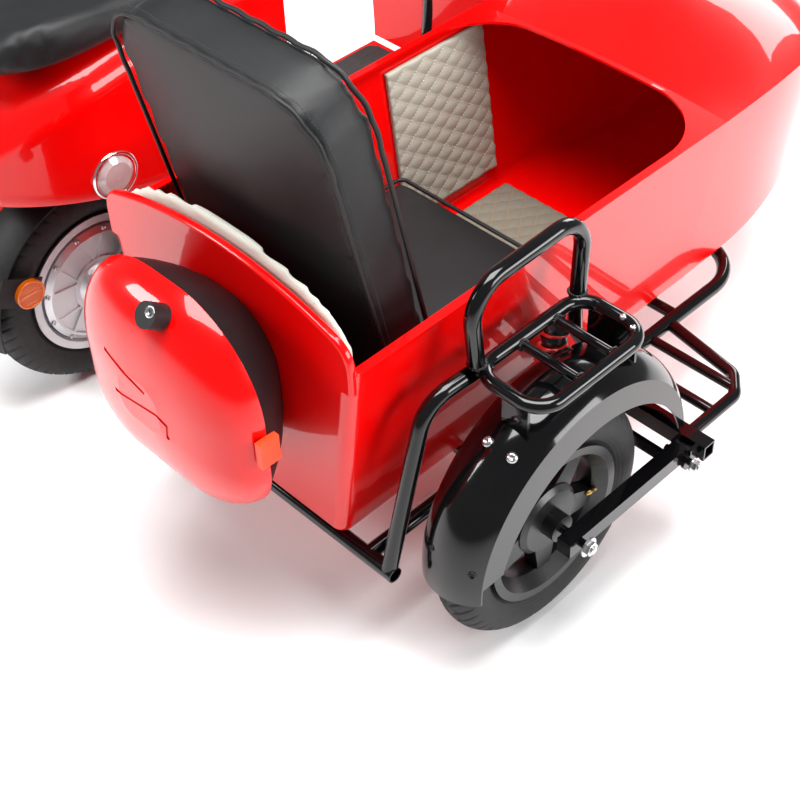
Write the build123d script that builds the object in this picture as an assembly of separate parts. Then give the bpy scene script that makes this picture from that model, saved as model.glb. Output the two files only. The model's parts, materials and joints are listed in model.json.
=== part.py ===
from build123d import *
import os
from math import asin, atan2, cos, degrees, radians, sin, sqrt

# Sidecar motorcycle: an electric scooter with a passenger sidecar on its right side
# Millimetres. +X is forward, +Y is left, +Z is up. Pieces are placed from the point on the floor
# under the scooter's rear axle, and all of them move together at the end, so that the origin is
# the centre of the whole vehicle's footprint.

# Wheels and tyres, one size on all three
TYRE_R = 205.5
TYRE_W = 82.0
RIM_R = 137.5
RIM_SEAT_R = 128.0
RIM_W = 74.0
AXLE_R = 7.0
SHAFT_GAP = 0.08
WHEELBASE = 1200.0
SIDE_WHEEL_X = 131.0
SIDE_WHEEL_Y = -976.0

# Clearances
SEAT_GAP = 0.3
RUN_GAP = 6.0

# Scooter steering
RAKE = 26.0
FORK_OFFSET = 35.0
FORK_LEG_Y = 78.0
FORK_TUBE_R = 16.0
SLIDER_R = 20.0
CROWN_S = 262.0
CROWN_T = 26.0
STEERER_R = 14.7
HEAD_R = 25.0
HEAD_S = (300.0, 510.0)
BAR_S = 800.0
BAR_R = 11.0
BAR_HALF = 335.0
BAR_RISE = 48.0
BAR_SWEEP = 70.0
GRIP_R = 16.5
GRIP_L = 118.0

# Scooter body
RAIL_Y = 88.0
RAIL_Z = 150.0
RAIL_R = 14.0
FLOOR_X = (440.0, 868.0)
FLOOR_Z = 240.0
FLOOR_HALF = 148.0
SKIRT_DROP = 58.0
SKIN = 4.0
BATTERY = (370.0, 140.0, 92.0)
SADDLE_Z = 700.0
TAIL_LAMP_R = 66.0
TAIL_LAMP_Z = 540.0

# Sidecar body
TUB_Y = -586.0
TUB_X0 = -119.0
TUB_Z0 = 213.0
TUB_Z1 = 585.0
TUB_HALF_LOW = 225.0
TUB_HALF_TOP = 270.0
TUB_WALL = 5.0
TUB_STRAIGHT = 700.0
COCKPIT_X1 = 690.0
COCKPIT_LIP = 14.0
TUB_CORNER = 22.0
ARCH_RISE = 82.0
ARCH_T = 14.0
ARCH_FOOT = 44.0
ARCH_HALF = TUB_HALF_TOP - 3
ARCH_SHOULDER = 45.0
ARCH_ROUND = 5.5

# Sidecar frame, square and round tube
FRAME_R = 12.7
FRAME_Z = TUB_Z0 - FRAME_R - SEAT_GAP
RIGHT_RAIL_Y = -846.0
LEFT_RAIL_Y = -330.0
REAR_CROSS_X = -104.0
REAR_CROSS_END_Y = -905.0
RAIL_FRONT_X = 838.0
STUB_X = 420.0
STUB_W = 26.0
STUB_H = 30.0
STUB_END_Y = -1082.0
STUB_WALL = 3.0

# Rack over the sidecar wheel
RACK_Z = 500.0
RACK_X = (64.0, 292.0)
RACK_Y = (-1031.0, -906.0)
RACK_R = 11.0
HOOP_R = 12.7
HOOP_TOP = 648.0

# Sidecar wheel's mudguard
GUARD_X = SIDE_WHEEL_X + 45.0
GUARD_R = 262.0
GUARD_EDGE_R = 235.0
GUARD_HALF = 60.0
GUARD_T = 3.0
GUARD_ARC = (5.0, 181.0)
SKIRT_X = SIDE_WHEEL_X + 62.0
SKIRT_Z = 172.0
SKIRT_R = 213.0
SKIRT_LOW = 232.0

# Case on the tub's rear wall
CASE_Z = 473.0
CASE_HALF = 187.0
CASE_TOP = 182.0
CASE_LOW = 181.0
CASE_BASE_D = 88.0
LID_DEPTH = 78.0
CASE_WALL = 4.0

NODES = {}


def box(x0, x1, y0, y1, z0, z1):
    """A block between two corners."""
    size = (x1 - x0, y1 - y0, z1 - z0)
    centre = ((x0 + x1) / 2, (y0 + y1) / 2, (z0 + z1) / 2)
    return Pos(*centre) * Box(*size)


def rod(start, end, radius):
    """A round bar from one point to another."""
    line = Line(start, end)
    return sweep(Plane(origin=line @ 0, z_dir=line % 0) * Circle(radius), path=line)


def tube(points, radius, bend):
    """A round bar bent along straight runs with one bend radius."""
    path = FilletPolyline(*points, radius=bend)
    return sweep(Plane(origin=path @ 0, z_dir=path % 0) * Circle(radius), path=path)


def ring_tube(points, radius, bend):
    """A closed bent bar."""
    path = FilletPolyline(*points, radius=bend, close=True)
    start = path @ 0
    return sweep(Plane(origin=start, z_dir=path % 0) * Circle(radius), path=path)


def turned(profile_points, centre):
    """A solid of revolution about the wheel axis, from (radius, y) corners."""
    face = make_face(Plane.XY * Polyline(*profile_points, close=True))
    return Pos(*centre) * revolve(face, axis=Axis.Y)


def wheel_cylinder(centre, radius, y0, y1):
    """A cylinder about a wheel axis between two y positions measured from its centre."""
    middle = Pos(centre[0], centre[1] + (y0 + y1) / 2, centre[2])
    return middle * Rot(90, 0, 0) * Cylinder(radius, y1 - y0)


def steer_point(along, forward=0.0, side=0.0):
    """A point by its distance up the steering axis, ahead of it and beside it."""
    up = (-sin(radians(RAKE)), cos(radians(RAKE)))
    ahead = (cos(radians(RAKE)), sin(radians(RAKE)))
    base = (WHEELBASE - FORK_OFFSET * ahead[0], TYRE_R - FORK_OFFSET * ahead[1])
    x = base[0] + along * up[0] + forward * ahead[0]
    z = base[1] + along * up[1] + forward * ahead[1]
    return (x, side, z)


STEER_PLANE = Plane(origin=steer_point(0), x_dir=(cos(radians(RAKE)), 0, sin(radians(RAKE))),
                    z_dir=(-sin(radians(RAKE)), 0, cos(radians(RAKE))))
REAR_AXLE = (0.0, 0.0, TYRE_R)
FRONT_AXLE = (WHEELBASE, 0.0, TYRE_R)
SIDE_AXLE = (SIDE_WHEEL_X, SIDE_WHEEL_Y, TYRE_R)


# Tyre: round-shouldered, its bead a hair off the rim's seat
def tyre(centre):
    half = TYRE_W / 2
    seat = RIM_SEAT_R + SEAT_GAP
    bead_y = RIM_W / 2 - 8 - SEAT_GAP
    outline = (Line((seat, -bead_y), (seat, bead_y))
               + Line((seat, bead_y), (RIM_R + 2, bead_y))
               + ThreePointArc((RIM_R + 2, bead_y), (TYRE_R - 42, half), (TYRE_R - 15, half * 0.82))
               + ThreePointArc((TYRE_R - 15, half * 0.82), (TYRE_R, 0), (TYRE_R - 15, -half * 0.82))
               + ThreePointArc((TYRE_R - 15, -half * 0.82), (TYRE_R - 42, -half), (RIM_R + 2, -bead_y))
               + Line((RIM_R + 2, -bead_y), (seat, -bead_y)))
    return Pos(*centre) * revolve(make_face(outline), axis=Axis.Y)


# Rim barrel: flanges, bead seats and a dropped centre
def barrel(centre, well):
    half = RIM_W / 2
    flange = 5.0
    wall = 5.0
    seat_y = half - 8
    return turned([
        (RIM_SEAT_R - wall, -half), (RIM_R, -half), (RIM_R, -half + flange),
        (RIM_SEAT_R, -seat_y), (RIM_SEAT_R, -seat_y + 9), (well, -seat_y + 17),
        (well, seat_y - 17), (RIM_SEAT_R, seat_y - 9), (RIM_SEAT_R, seat_y),
        (RIM_R, half - flange), (RIM_R, half), (RIM_SEAT_R - wall, half),
        (well - wall, seat_y - 14), (well - wall, -seat_y + 14)], centre)


# Cast wheel with five spokes
SPOKES = 5
HUB_R = 62.0
HUB_END = (-50.0, 46.0)


def cast_rim(centre):
    x, y, z = centre
    well = 114.0
    hub = turned([(0, -27), (HUB_R - 8, -27), (HUB_R, -20), (HUB_R, 16), (HUB_R - 8, 22), (0, 22)], centre)
    hub += wheel_cylinder(centre, 23, HUB_END[0], HUB_END[1])
    outline = Polyline((HUB_R - 12, -24), (well - 2, -14), (well - 2, 14), (HUB_R - 12, 24), close=True)
    spoke = Pos(0, 8, 0) * Rot(90, 0, 0) * extrude(make_face(outline), 26)
    body = barrel(centre, well) + hub
    for index in range(SPOKES):
        body += Pos(x, y, z) * Rot(0, 90 + index * 360 / SPOKES, 0) * spoke
    return body - wheel_cylinder(centre, AXLE_R + SHAFT_GAP, HUB_END[0] - 5, HUB_END[1] + 5)


for name, centre in (("rear", REAR_AXLE), ("front", FRONT_AXLE), ("side", SIDE_AXLE)):
    NODES[name + "_tyre"] = tyre(centre)
NODES["side_rim"] = cast_rim(SIDE_AXLE)
NODES["front_rim"] = cast_rim(FRONT_AXLE)

# Front brake disc, bolted to the hub's left face
DISC_R = 90.0
DISC_T = 3.0
disc = wheel_cylinder(FRONT_AXLE, DISC_R, HUB_END[1] - 8, HUB_END[1] - 8 + DISC_T)
disc -= wheel_cylinder(FRONT_AXLE, 23 + SEAT_GAP, 0, 60)
for index in range(5):
    disc -= Pos(*FRONT_AXLE) * Rot(0, index * 72 + 36, 0) * Pos(57, 40, 0) * Rot(90, 0, 0) * Cylinder(13, 20)
NODES["front_disc"] = disc

# Rear hub motor: rim and drive in one casting. Each cover has six wide pockets, and between them six narrow
# ones, which leaves thin ribs in pairs that spread outwards from the centre ring.
MOTOR_R = 116.0
MOTOR_HALF = 44.0
POCKETS = 6
POCKET_DEPTH = 4.0
POCKET_RADII = (56.0, 101.0)
WIDE_POCKET = (25.0, 15.5)
NARROW_POCKET = (1.5, 12.0)


def sector(radii, half_angles):
    """A flat plate between two radii about the Y axis, its half angle given at each."""
    (inner, outer), (near, far) = radii, half_angles

    def at(radius, degrees_off):
        return (radius * cos(radians(degrees_off)), radius * sin(radians(degrees_off)))
    outline = (ThreePointArc(at(inner, -near), at(inner, 0), at(inner, near)) + Line(at(inner, near), at(outer, far))
               + ThreePointArc(at(outer, far), at(outer, 0), at(outer, -far)) + Line(at(outer, -far), at(inner, -near)))
    return Rot(90, 0, 0) * extrude(make_face(outline), amount=POCKET_DEPTH, both=True)


motor = barrel(REAR_AXLE, 112.0)
COVER = ((0, 6), (26, 6), (30, 8), (40, 8), (46, 0), (106, 0), (MOTOR_R, -8), (MOTOR_R, -16))
cover_side = [(radius, -MOTOR_HALF - out) for radius, out in COVER]
motor += turned(cover_side + [(radius, -y) for radius, y in reversed(cover_side)], REAR_AXLE)
for side in (-1, 1):
    for index in range(POCKETS):
        for pocket, turn in ((WIDE_POCKET, 0), (NARROW_POCKET, 180 / POCKETS)):
            cut = Rot(0, index * 360 / POCKETS + turn, 0) * sector(POCKET_RADII, pocket)
            motor -= Pos(0, side * MOTOR_HALF, 0) * Pos(*REAR_AXLE) * cut
motor -= wheel_cylinder(REAR_AXLE, AXLE_R + SHAFT_GAP, -70, 70)
NODES["hub_motor"] = motor

# Scooter frame: head tube, down tube, two floor rails that rise to carry the tail, cross tubes
head = rod(steer_point(HEAD_S[0]), steer_point(HEAD_S[1]), HEAD_R)
down_top = steer_point(HEAD_S[0] + 30)
DOWN_TUBE = [down_top, (905, 0, 420), (880, 0, RAIL_Z)]
DOWN_R = 19.0


def floor_rail(side, radius):
    """From below the head tube along the floor, up behind it and back under the tail."""
    return tube([(880, side * RAIL_Y, RAIL_Z), (455, side * RAIL_Y, RAIL_Z),
                 (330, side * RAIL_Y, 330), (300, side * RAIL_Y, 420),
                 (-90, side * (RAIL_Y - 8), 512)], radius, 60)


frame = head + tube(DOWN_TUBE, DOWN_R, 60)
for side in (-1, 1):
    frame += floor_rail(side, RAIL_R)
PIVOT_X = 395.0
PIVOT_Z = 205.0
TAIL_PEG = (60.0, 476.0)
for x, z in ((880, RAIL_Z), (640, RAIL_Z - 6), (455, RAIL_Z), TAIL_PEG):
    frame += rod((x, -RAIL_Y, z), (x, RAIL_Y, z), RAIL_R - 2.5)
PIVOT_HALF = 54.0
frame += rod((PIVOT_X, -PIVOT_HALF, PIVOT_Z), (PIVOT_X, PIVOT_HALF, PIVOT_Z), 15)
for side in (-1, 1):
    frame += box(PIVOT_X - 14, PIVOT_X + 64, side * 46 - 4, side * 46 + 4, RAIL_Z - 10, PIVOT_Z + 12)
frame -= rod(steer_point(HEAD_S[0] - 10), steer_point(HEAD_S[1] + 10), STEERER_R + SEAT_GAP)
NODES["scooter_frame"] = frame

# Battery: one plain block between the rails, on the middle cross tube
battery_z = RAIL_Z - 6 + RAIL_R - 2.5 + SEAT_GAP
NODES["battery_box"] = box(485, 485 + BATTERY[0], -BATTERY[1] / 2, BATTERY[1] / 2,
                           battery_z, FLOOR_Z - SKIN - SEAT_GAP)

# Floorboard: a tray with side skirts, and the rubber mat on it
x0, x1 = FLOOR_X
floor = box(x0, x1, -FLOOR_HALF, FLOOR_HALF, FLOOR_Z - SKIRT_DROP, FLOOR_Z)
floor -= box(x0 - 5, x1 + 5, -FLOOR_HALF + SKIN, FLOOR_HALF - SKIN, FLOOR_Z - SKIRT_DROP - 5, FLOOR_Z - SKIN)
floor = fillet(floor.edges().filter_by(Axis.X).group_by(Axis.Z)[-1], 3)
NODES["floorboard"] = floor
mat = box(x0 + 14, x1 - 14, -FLOOR_HALF + 14, FLOOR_HALF - 14, FLOOR_Z, FLOOR_Z + 5)
NODES["foot_mat"] = fillet(mat.edges().filter_by(Axis.Z), 24)


# Space that the fork, front wheel and front mudguard sweep as they steer
def steering_sweep(margin):
    corners = [(0, -60), (228, -60), (226, 0), (205, 80), (178, 150), (128, 210), (118, CROWN_S + CROWN_T),
               (0, CROWN_S + CROWN_T)]
    outline = [(radius + margin if radius else 0, along + (margin if along > 200 else 0))
               for radius, along in corners]
    face = make_face(Plane.XZ * Polyline(*outline, close=True))
    return STEER_PLANE * revolve(face, axis=Axis.Z)


# Leg shield: horizontal sections, flat towards the rider and crowned ahead
SHIELD = (  # z, rear x, front x, half width
    (252, 872, 960, 146),
    (460, 888, 1088, 182),
    (660, 862, 1012, 186),
    (850, 800, 900, 120),
)


def shield_section(z, rear, front, half):
    edge = 22
    outline = (Line((rear, -half), (rear + edge, -half))
               + ThreePointArc((rear + edge, -half), (front, 0), (rear + edge, half))
               + Line((rear + edge, half), (rear, half)) + Line((rear, half), (rear, -half)))
    return Pos(0, 0, z) * make_face(outline)


shield = loft([shield_section(*row) for row in SHIELD])
shield -= steering_sweep(RUN_GAP)
shield -= rod(steer_point(HEAD_S[0] - 20), steer_point(HEAD_S[1] + 4), HEAD_R + SEAT_GAP)
shield -= rod(steer_point(HEAD_S[1]), steer_point(HEAD_S[1] + 330), 34)
shield -= tube(DOWN_TUBE, DOWN_R + SEAT_GAP, 60)
NODES["leg_shield"] = shield

# Tail body: hooded shell from the seat front to the tail lamp, open below
TAIL = (  # x, half width, low z, high z, corner radius
    (-165, 76, 452, 616, 60),
    (-60, 116, 406, 664, 70),
    (130, 130, 366, 694, 60),
    (425, 112, 300, 694, 40),
)


def tail_section(x, half, low, high, corner, inset=0.0):
    width = 2 * (half - inset)
    height = high - low - inset
    middle = (high - inset + low) / 2
    plane = Plane(origin=(x, 0, middle), x_dir=(0, 1, 0), z_dir=(1, 0, 0))
    return plane * RectangleRounded(width, height, max(corner - inset, 12))


def tail_loft(inset):
    """The tail's outer form, or its inside at a wall's depth with its floor left open."""
    faces = []
    for x, half, low, high, corner in TAIL:
        end = inset if x == TAIL[0][0] else -inset if x == TAIL[-1][0] else 0
        faces.append(tail_section(x + end, half, low - 3 * inset, high, corner, inset))
    return loft(faces)


tail = tail_loft(0) - tail_loft(SKIN)
tail = split(tail, Plane(origin=(-60, 0, 432), z_dir=(0.205, 0, 1)), keep=Keep.TOP)
NODES["tail_body"] = tail

# The tail is bolted to pegs that run out from the frame's rear cross tube to its inner walls
pegs = rod((TAIL_PEG[0], -200, TAIL_PEG[1]), (TAIL_PEG[0], 200, TAIL_PEG[1]), RAIL_R - 2.5)
NODES["scooter_frame"] += pegs & tail_loft(SKIN + SEAT_GAP)

# Under-seat bucket, open at the top, with a rim on the tail's deck
BUCKET = (128.0, 392.0, 78.0, 486.0)
BUCKET_WALL = 3.0
x0, x1, half, floor_z = BUCKET
rim_z = TAIL[2][3] + SEAT_GAP
bucket = box(x0, x1, -half, half, floor_z, rim_z + BUCKET_WALL)
bucket += box(x0 - 10, x1 + 10, -half - 10, half + 10, rim_z, rim_z + BUCKET_WALL)
bucket -= box(x0 + BUCKET_WALL, x1 - BUCKET_WALL, -half + BUCKET_WALL, half - BUCKET_WALL,
              floor_z + BUCKET_WALL, rim_z + 20)
NODES["seat_bucket"] = bucket
NODES["tail_body"] -= box(x0 - SEAT_GAP, x1 + SEAT_GAP, -half - SEAT_GAP, half + SEAT_GAP,
                          floor_z - SEAT_GAP, rim_z + 20)
NODES["tail_body"] -= box(x0 - 11, x1 + 11, -half - 11, half + 11, rim_z - SEAT_GAP, rim_z + 20)

# Saddle: crowned loft, hinged at its front edge
HINGE_X = TAIL[3][0] + 12
HINGE_Z = SADDLE_Z - 3
KNUCKLE_R = 6.0
SADDLE = (  # x, half width, low z, high z
    (-140, 84, 702, 742),
    (-50, 126, 700, 770),
    (140, 128, 700, 752),
    (320, 98, 700, 760),
    (430, 66, 700, 742),
)
saddle = loft([Plane(origin=(x, 0, (low + high) / 2), x_dir=(0, 1, 0), z_dir=(1, 0, 0))
               * RectangleRounded(2 * half, high - low, 16) for x, half, low, high in SADDLE])
for side in (-1, 1):
    middle = side * 22
    saddle += Pos(HINGE_X, middle, HINGE_Z) * Rot(90, 0, 0) * Cylinder(KNUCKLE_R, 18)
    saddle += box(HINGE_X - 14, HINGE_X, middle - 9, middle + 9, HINGE_Z + 1, HINGE_Z + KNUCKLE_R)
NODES["saddle"] = saddle
lug = Pos(HINGE_X, 0, HINGE_Z) * Rot(90, 0, 0) * Cylinder(KNUCKLE_R, 25)
lug += box(TAIL[3][0] - SKIN, HINGE_X, -12.5, 12.5, HINGE_Z - 22, HINGE_Z - 2)
NODES["tail_body"] += lug


# Lamps: a round base with a stepped lens, its back cut to the panel it sits on
def lamp(radius, depth):
    """A lamp facing +Z from z = 0, buried 30 mm behind it."""
    outline = [(0, -30), (radius, -30), (radius, depth * 0.5), (radius - 4, depth * 0.62),
               (radius * 0.9, depth * 0.5), (radius * 0.6, depth * 0.9), (0, depth)]
    return revolve(make_face(Plane.XZ * Polyline(*outline, close=True)), axis=Axis.Z)


tail_end = Plane(origin=(TAIL[0][0] - SEAT_GAP, 0, TAIL_LAMP_Z), x_dir=(0, -1, 0), z_dir=(-1, 0, 0))
tail_lamp = tail_end * lamp(TAIL_LAMP_R, 26)
NODES["tail_lamp"] = tail_lamp - box(TAIL[0][0] - SEAT_GAP, 0, -200, 200, 300, 800)
TURN_R = 43.0
TURN_AT = (22.0, 474.0)
TURN_OUT = 118.0
turns = []
for side in (-1, 1):
    face_on = Plane(origin=(TURN_AT[0], side * TURN_OUT, TURN_AT[1]), x_dir=(1, 0, 0), z_dir=(0, side, 0))
    turns += (face_on * lamp(TURN_R, 20) - tail_loft(-0.8) - tail).solids()
NODES["rear_turn_lamps"] = Compound(children=turns)
FRONT_TURN = (128.0, 660.0, 27.0)
shield_grown = loft([shield_section(z, rear, front + SEAT_GAP, half) for z, rear, front, half in SHIELD])
turns = []
for side in (-1, 1):
    face_on = Plane(origin=(936, side * FRONT_TURN[0], FRONT_TURN[1]), x_dir=(0, 1, 0), z_dir=(1, 0, 0))
    piece = face_on * lamp(FRONT_TURN[2], 26) - shield_grown
    turns += [solid for solid in piece.solids() if solid.center().X > 930]
NODES["front_turn_lamps"] = Compound(children=turns)


# Mudguard: a crowned strip turned part way about a wheel
def arch_strip(centre, crown, edge, half, thickness, start, end):
    """Between two angles from +X, rising through +Z."""
    def arc(inset):
        return [(edge - inset, -half), (crown - inset, 0), (edge - inset, half)]
    outer = ThreePointArc(*arc(0))
    inner = ThreePointArc(*arc(thickness))
    face = make_face(outer + Line((edge, half), (edge - thickness, half)) + inner
                     + Line((edge - thickness, -half), (edge, -half)))
    turned_strip = revolve(face, axis=Axis.Y, revolution_arc=end - start)
    return Pos(*centre) * Rot(0, -end, 0) * turned_strip


rear_guard = arch_strip(REAR_AXLE, 232, 220, 54, 3, 62, 186)
stay_x = 60.0
stay_top = 476 - (RAIL_R - 2.5) - SEAT_GAP
rear_guard += (box(stay_x - 12, stay_x + 12, -20, 20, 430, stay_top)
               - wheel_cylinder(REAR_AXLE, 226, -60, 60))
REFLECTOR = (-148.0, 280.0, 28.0)
REFLECTOR_Y = -57.0
stay_angle = degrees(asin((REFLECTOR[1] - TYRE_R) / sqrt(REFLECTOR[0] ** 2 + (REFLECTOR[1] - TYRE_R) ** 2)))
plate = Pos(*REAR_AXLE) * Rot(0, 180 + stay_angle, 0) * Pos(184, -52.5, 0) * Box(82, 3, 56)
rear_guard += plate - wheel_cylinder(REAR_AXLE, 300, -51, 60)
NODES["rear_mudguard"] = rear_guard
NODES["side_reflector"] = (Pos(REFLECTOR[0], -54 - SEAT_GAP - 4, REFLECTOR[1]) * Rot(90, 0, 0)
                           * Cylinder(REFLECTOR[2], 8))

# Rear swingarm with pivot bolt and axle, and a shock absorber each side
ARM_Y = 64.0
ARM_T = 14.0
ARM_H = 34.0
arm = wheel_cylinder((PIVOT_X, 0, PIVOT_Z), 6.0, -ARM_Y, ARM_Y)
arm += wheel_cylinder(REAR_AXLE, AXLE_R, -ARM_Y - 16, ARM_Y + 16)
SHOCK_LOW = (62.0, 240.0)
SHOCK_HIGH = (96.0, 438.0)
SHOCK_Y = 88.0
for side in (-1, 1):
    near = side * ARM_Y
    arm += box(0, PIVOT_X, near - ARM_T / 2, near + ARM_T / 2, TYRE_R - ARM_H / 2, TYRE_R + ARM_H / 2)
    arm += wheel_cylinder(REAR_AXLE, 26, near - ARM_T / 2, near + ARM_T / 2)
    arm += wheel_cylinder((PIVOT_X, 0, PIVOT_Z), ARM_H / 2, near - ARM_T / 2, near + ARM_T / 2)
    arm += wheel_cylinder(REAR_AXLE, 12, side * 78 - 6, side * 78 + 6)
    arm += box(SHOCK_LOW[0] - 14, SHOCK_LOW[0] + 14, near - ARM_T / 2, near + ARM_T / 2,
               TYRE_R, SHOCK_LOW[1] + 12)
    arm += rod((SHOCK_LOW[0], near, SHOCK_LOW[1]), (SHOCK_LOW[0], side * (SHOCK_Y + 10), SHOCK_LOW[1]), 5)
cross_x = 262.0
arm += box(cross_x - 12, cross_x + 12, -ARM_Y, ARM_Y, TYRE_R - ARM_H / 2, TYRE_R + ARM_H / 2)
NODES["rear_swingarm"] = arm
NODES["scooter_frame"] -= wheel_cylinder((PIVOT_X, 0, PIVOT_Z), 6.0 + SEAT_GAP, -90, 90)


def shock(low, high, y, eye_r, pin_r):
    """A spring over a damper, its eye on a pin at the low end and its cap at the high end."""
    dx, dz = high[0] - low[0], high[1] - low[1]
    length = sqrt(dx * dx + dz * dz)
    plane = Plane(origin=(low[0], y, low[1]), x_dir=(0, 1, 0), z_dir=(dx, 0, dz))
    outline = [(0, 4), (10, 4), (10, 22), (22, 24), (22, 30)]
    turns_count = 6
    pitch = (length - 30 - 26) / turns_count
    for index in range(turns_count):
        z = 30 + index * pitch
        outline += [(16, z + pitch * 0.1), (21, z + pitch * 0.5), (16, z + pitch * 0.9)]
    outline += [(22, length - 26), (22, length - 20), (10, length - 18), (10, length), (0, length)]
    body = plane * revolve(make_face(Plane.XZ * Polyline(*outline, close=True)), axis=Axis.Z)
    body += Pos(low[0], y, low[1]) * Rot(90, 0, 0) * Cylinder(eye_r, 16)
    return body - Pos(low[0], y, low[1]) * Rot(90, 0, 0) * Cylinder(pin_r, 60)


NODES["rear_shocks"] = Compound(children=[shock(SHOCK_LOW, SHOCK_HIGH, side * SHOCK_Y, 11, 5.3)
                                          for side in (-1, 1)])

# Fork: steerer, crown, two legs and the front axle
fork = rod(steer_point(CROWN_S), steer_point(BAR_S - 12), STEERER_R)
crown = Pos(FORK_OFFSET / 2, 0, CROWN_S + CROWN_T / 2) * Box(FORK_OFFSET + 52, 2 * FORK_LEG_Y + 40, CROWN_T)
fork += STEER_PLANE * fillet(crown.edges().filter_by(Axis.Z), 16)
for side in (-1, 1):
    y = side * FORK_LEG_Y
    fork += rod(steer_point(110, FORK_OFFSET, y), steer_point(CROWN_S + 5, FORK_OFFSET, y), FORK_TUBE_R)
    fork += rod(steer_point(-24, FORK_OFFSET, y), steer_point(150, FORK_OFFSET, y), SLIDER_R)
fork += wheel_cylinder(FRONT_AXLE, AXLE_R, -FORK_LEG_Y - 28, FORK_LEG_Y + 28)
caliper = steer_point(78, -2)
fork += box(caliper[0] - 26, caliper[0] + 26, HUB_END[1] + 0.5, FORK_LEG_Y, caliper[2] - 30, caliper[2] + 26)
NODES["fork"] = fork

front_guard = arch_strip(FRONT_AXLE, 234, 216, 52, 3, 18, 158)
for side in (-1, 1):
    at = steer_point(212, FORK_OFFSET)
    inner, outer = side * 48, side * (FORK_LEG_Y - FORK_TUBE_R - SEAT_GAP)
    front_guard += box(at[0] - 14, at[0] + 14, min(inner, outer), max(inner, outer), at[2] - 10, at[2] + 10)
NODES["front_mudguard"] = front_guard

# Handlebar with its clamp on the steerer, grips and levers
bar_x, _, bar_z = steer_point(BAR_S)
BAR_POINTS = [(bar_x - BAR_SWEEP, -BAR_HALF, bar_z + BAR_RISE), (bar_x - 16, -165, bar_z + BAR_RISE),
              (bar_x, -78, bar_z), (bar_x, 78, bar_z), (bar_x - 16, 165, bar_z + BAR_RISE),
              (bar_x - BAR_SWEEP, BAR_HALF, bar_z + BAR_RISE)]
clamp = rod(steer_point(BAR_S - 60), steer_point(BAR_S + 14), 21)
handlebar = tube(BAR_POINTS, BAR_R, 30) + clamp
handlebar -= rod(steer_point(BAR_S - 70), steer_point(BAR_S - 11), STEERER_R + SEAT_GAP)
NODES["handlebar"] = handlebar
grips = []
for side in (-1, 1):
    inner = Vector(bar_x - 16, side * 165, bar_z + BAR_RISE)
    outer = Vector(bar_x - BAR_SWEEP, side * BAR_HALF, bar_z + BAR_RISE)
    run = (outer - inner).normalized()
    start = outer - run * GRIP_L
    end = outer + run * 6
    sleeve = rod(tuple(start), tuple(end), GRIP_R) - rod(tuple(start - run), tuple(outer + run * SEAT_GAP),
                                                        BAR_R + SEAT_GAP)
    grips.append(sleeve.solid())
NODES["grips"] = Compound(children=grips)

# Headlamp cowl round the clamp, and the lamp in its front
LAMP_R = 62.0
LAMP_Z = bar_z + 28
COWL_X = (bar_x - 52, bar_x + 30, bar_x + 92)
cowl = loft([Plane(origin=(x, 0, z), x_dir=(0, 1, 0), z_dir=(1, 0, 0)) * RectangleRounded(2 * half, height, corner)
             for x, half, height, corner, z in ((COWL_X[0], 62, 78, 30, LAMP_Z + 4),
                                                (COWL_X[1], 84, 128, 50, LAMP_Z),
                                                (COWL_X[2], LAMP_R + 5, 2 * LAMP_R + 10, LAMP_R + 4.5, LAMP_Z))])
cowl -= tube(BAR_POINTS, BAR_R + SEAT_GAP, 30)
cowl -= rod(steer_point(BAR_S - 90), steer_point(BAR_S + 14.5), 21 + SEAT_GAP)
NODES["headlamp_cowl"] = cowl
lamp_face = Plane(origin=(COWL_X[2] + SEAT_GAP, 0, LAMP_Z), x_dir=(0, 1, 0), z_dir=(1, 0, 0))
NODES["headlamp"] = lamp_face * lamp(LAMP_R, 24) - box(0, COWL_X[2] + SEAT_GAP, -200, 200, 700, 1200)

# Mirrors on stems from the handlebar
mirrors = []
MIRROR_R = 52.0
for side in (-1, 1):
    foot = (bar_x - 22.7, side * 186, bar_z + BAR_RISE + BAR_R + 0.8)
    knee = (bar_x - 14, side * 196, bar_z + BAR_RISE + 90)
    top = (bar_x - 30, side * 262, bar_z + BAR_RISE + 150)
    stem = tube([foot, knee, top], 4.5, 26)
    stem += rod(foot, (foot[0], foot[1], foot[2] + 14), 9)
    head_plane = Plane(origin=(top[0] - 8, top[1], top[2] + 4), x_dir=(0, 1, 0), z_dir=(-1, 0, 0))
    mirrors.append((stem + head_plane * Cylinder(MIRROR_R, 16)).solid())
NODES["mirrors"] = Compound(children=mirrors)

# Sidecar frame: hoop under the tub, rear cross tube that runs out past it, square cross stub
CROSS_X = (150.0, 640.0)
side_frame = tube([(REAR_CROSS_X, RIGHT_RAIL_Y, FRAME_Z), (RAIL_FRONT_X, RIGHT_RAIL_Y, FRAME_Z),
                   (RAIL_FRONT_X, LEFT_RAIL_Y, FRAME_Z), (REAR_CROSS_X, LEFT_RAIL_Y, FRAME_Z)], FRAME_R, 95)
side_frame += rod((REAR_CROSS_X, REAR_CROSS_END_Y, FRAME_Z), (REAR_CROSS_X, LEFT_RAIL_Y + FRAME_R, FRAME_Z),
                  FRAME_R + 0.2)
for x in CROSS_X:
    side_frame += rod((x, RIGHT_RAIL_Y, FRAME_Z), (x, LEFT_RAIL_Y, FRAME_Z), FRAME_R - 2)
STUB_Z = TUB_Z0 - SEAT_GAP - STUB_H / 2
stub_x0, stub_x1 = STUB_X - STUB_W / 2, STUB_X + STUB_W / 2
stub_z0, stub_z1 = STUB_Z - STUB_H / 2, STUB_Z + STUB_H / 2
side_frame += box(stub_x0, stub_x1, STUB_END_Y, LEFT_RAIL_Y, stub_z0, stub_z1)
side_frame -= box(stub_x0 + STUB_WALL, stub_x1 - STUB_WALL, STUB_END_Y - 5, STUB_END_Y + 60,
                  stub_z0 + STUB_WALL, stub_z1 - STUB_WALL)
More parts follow.
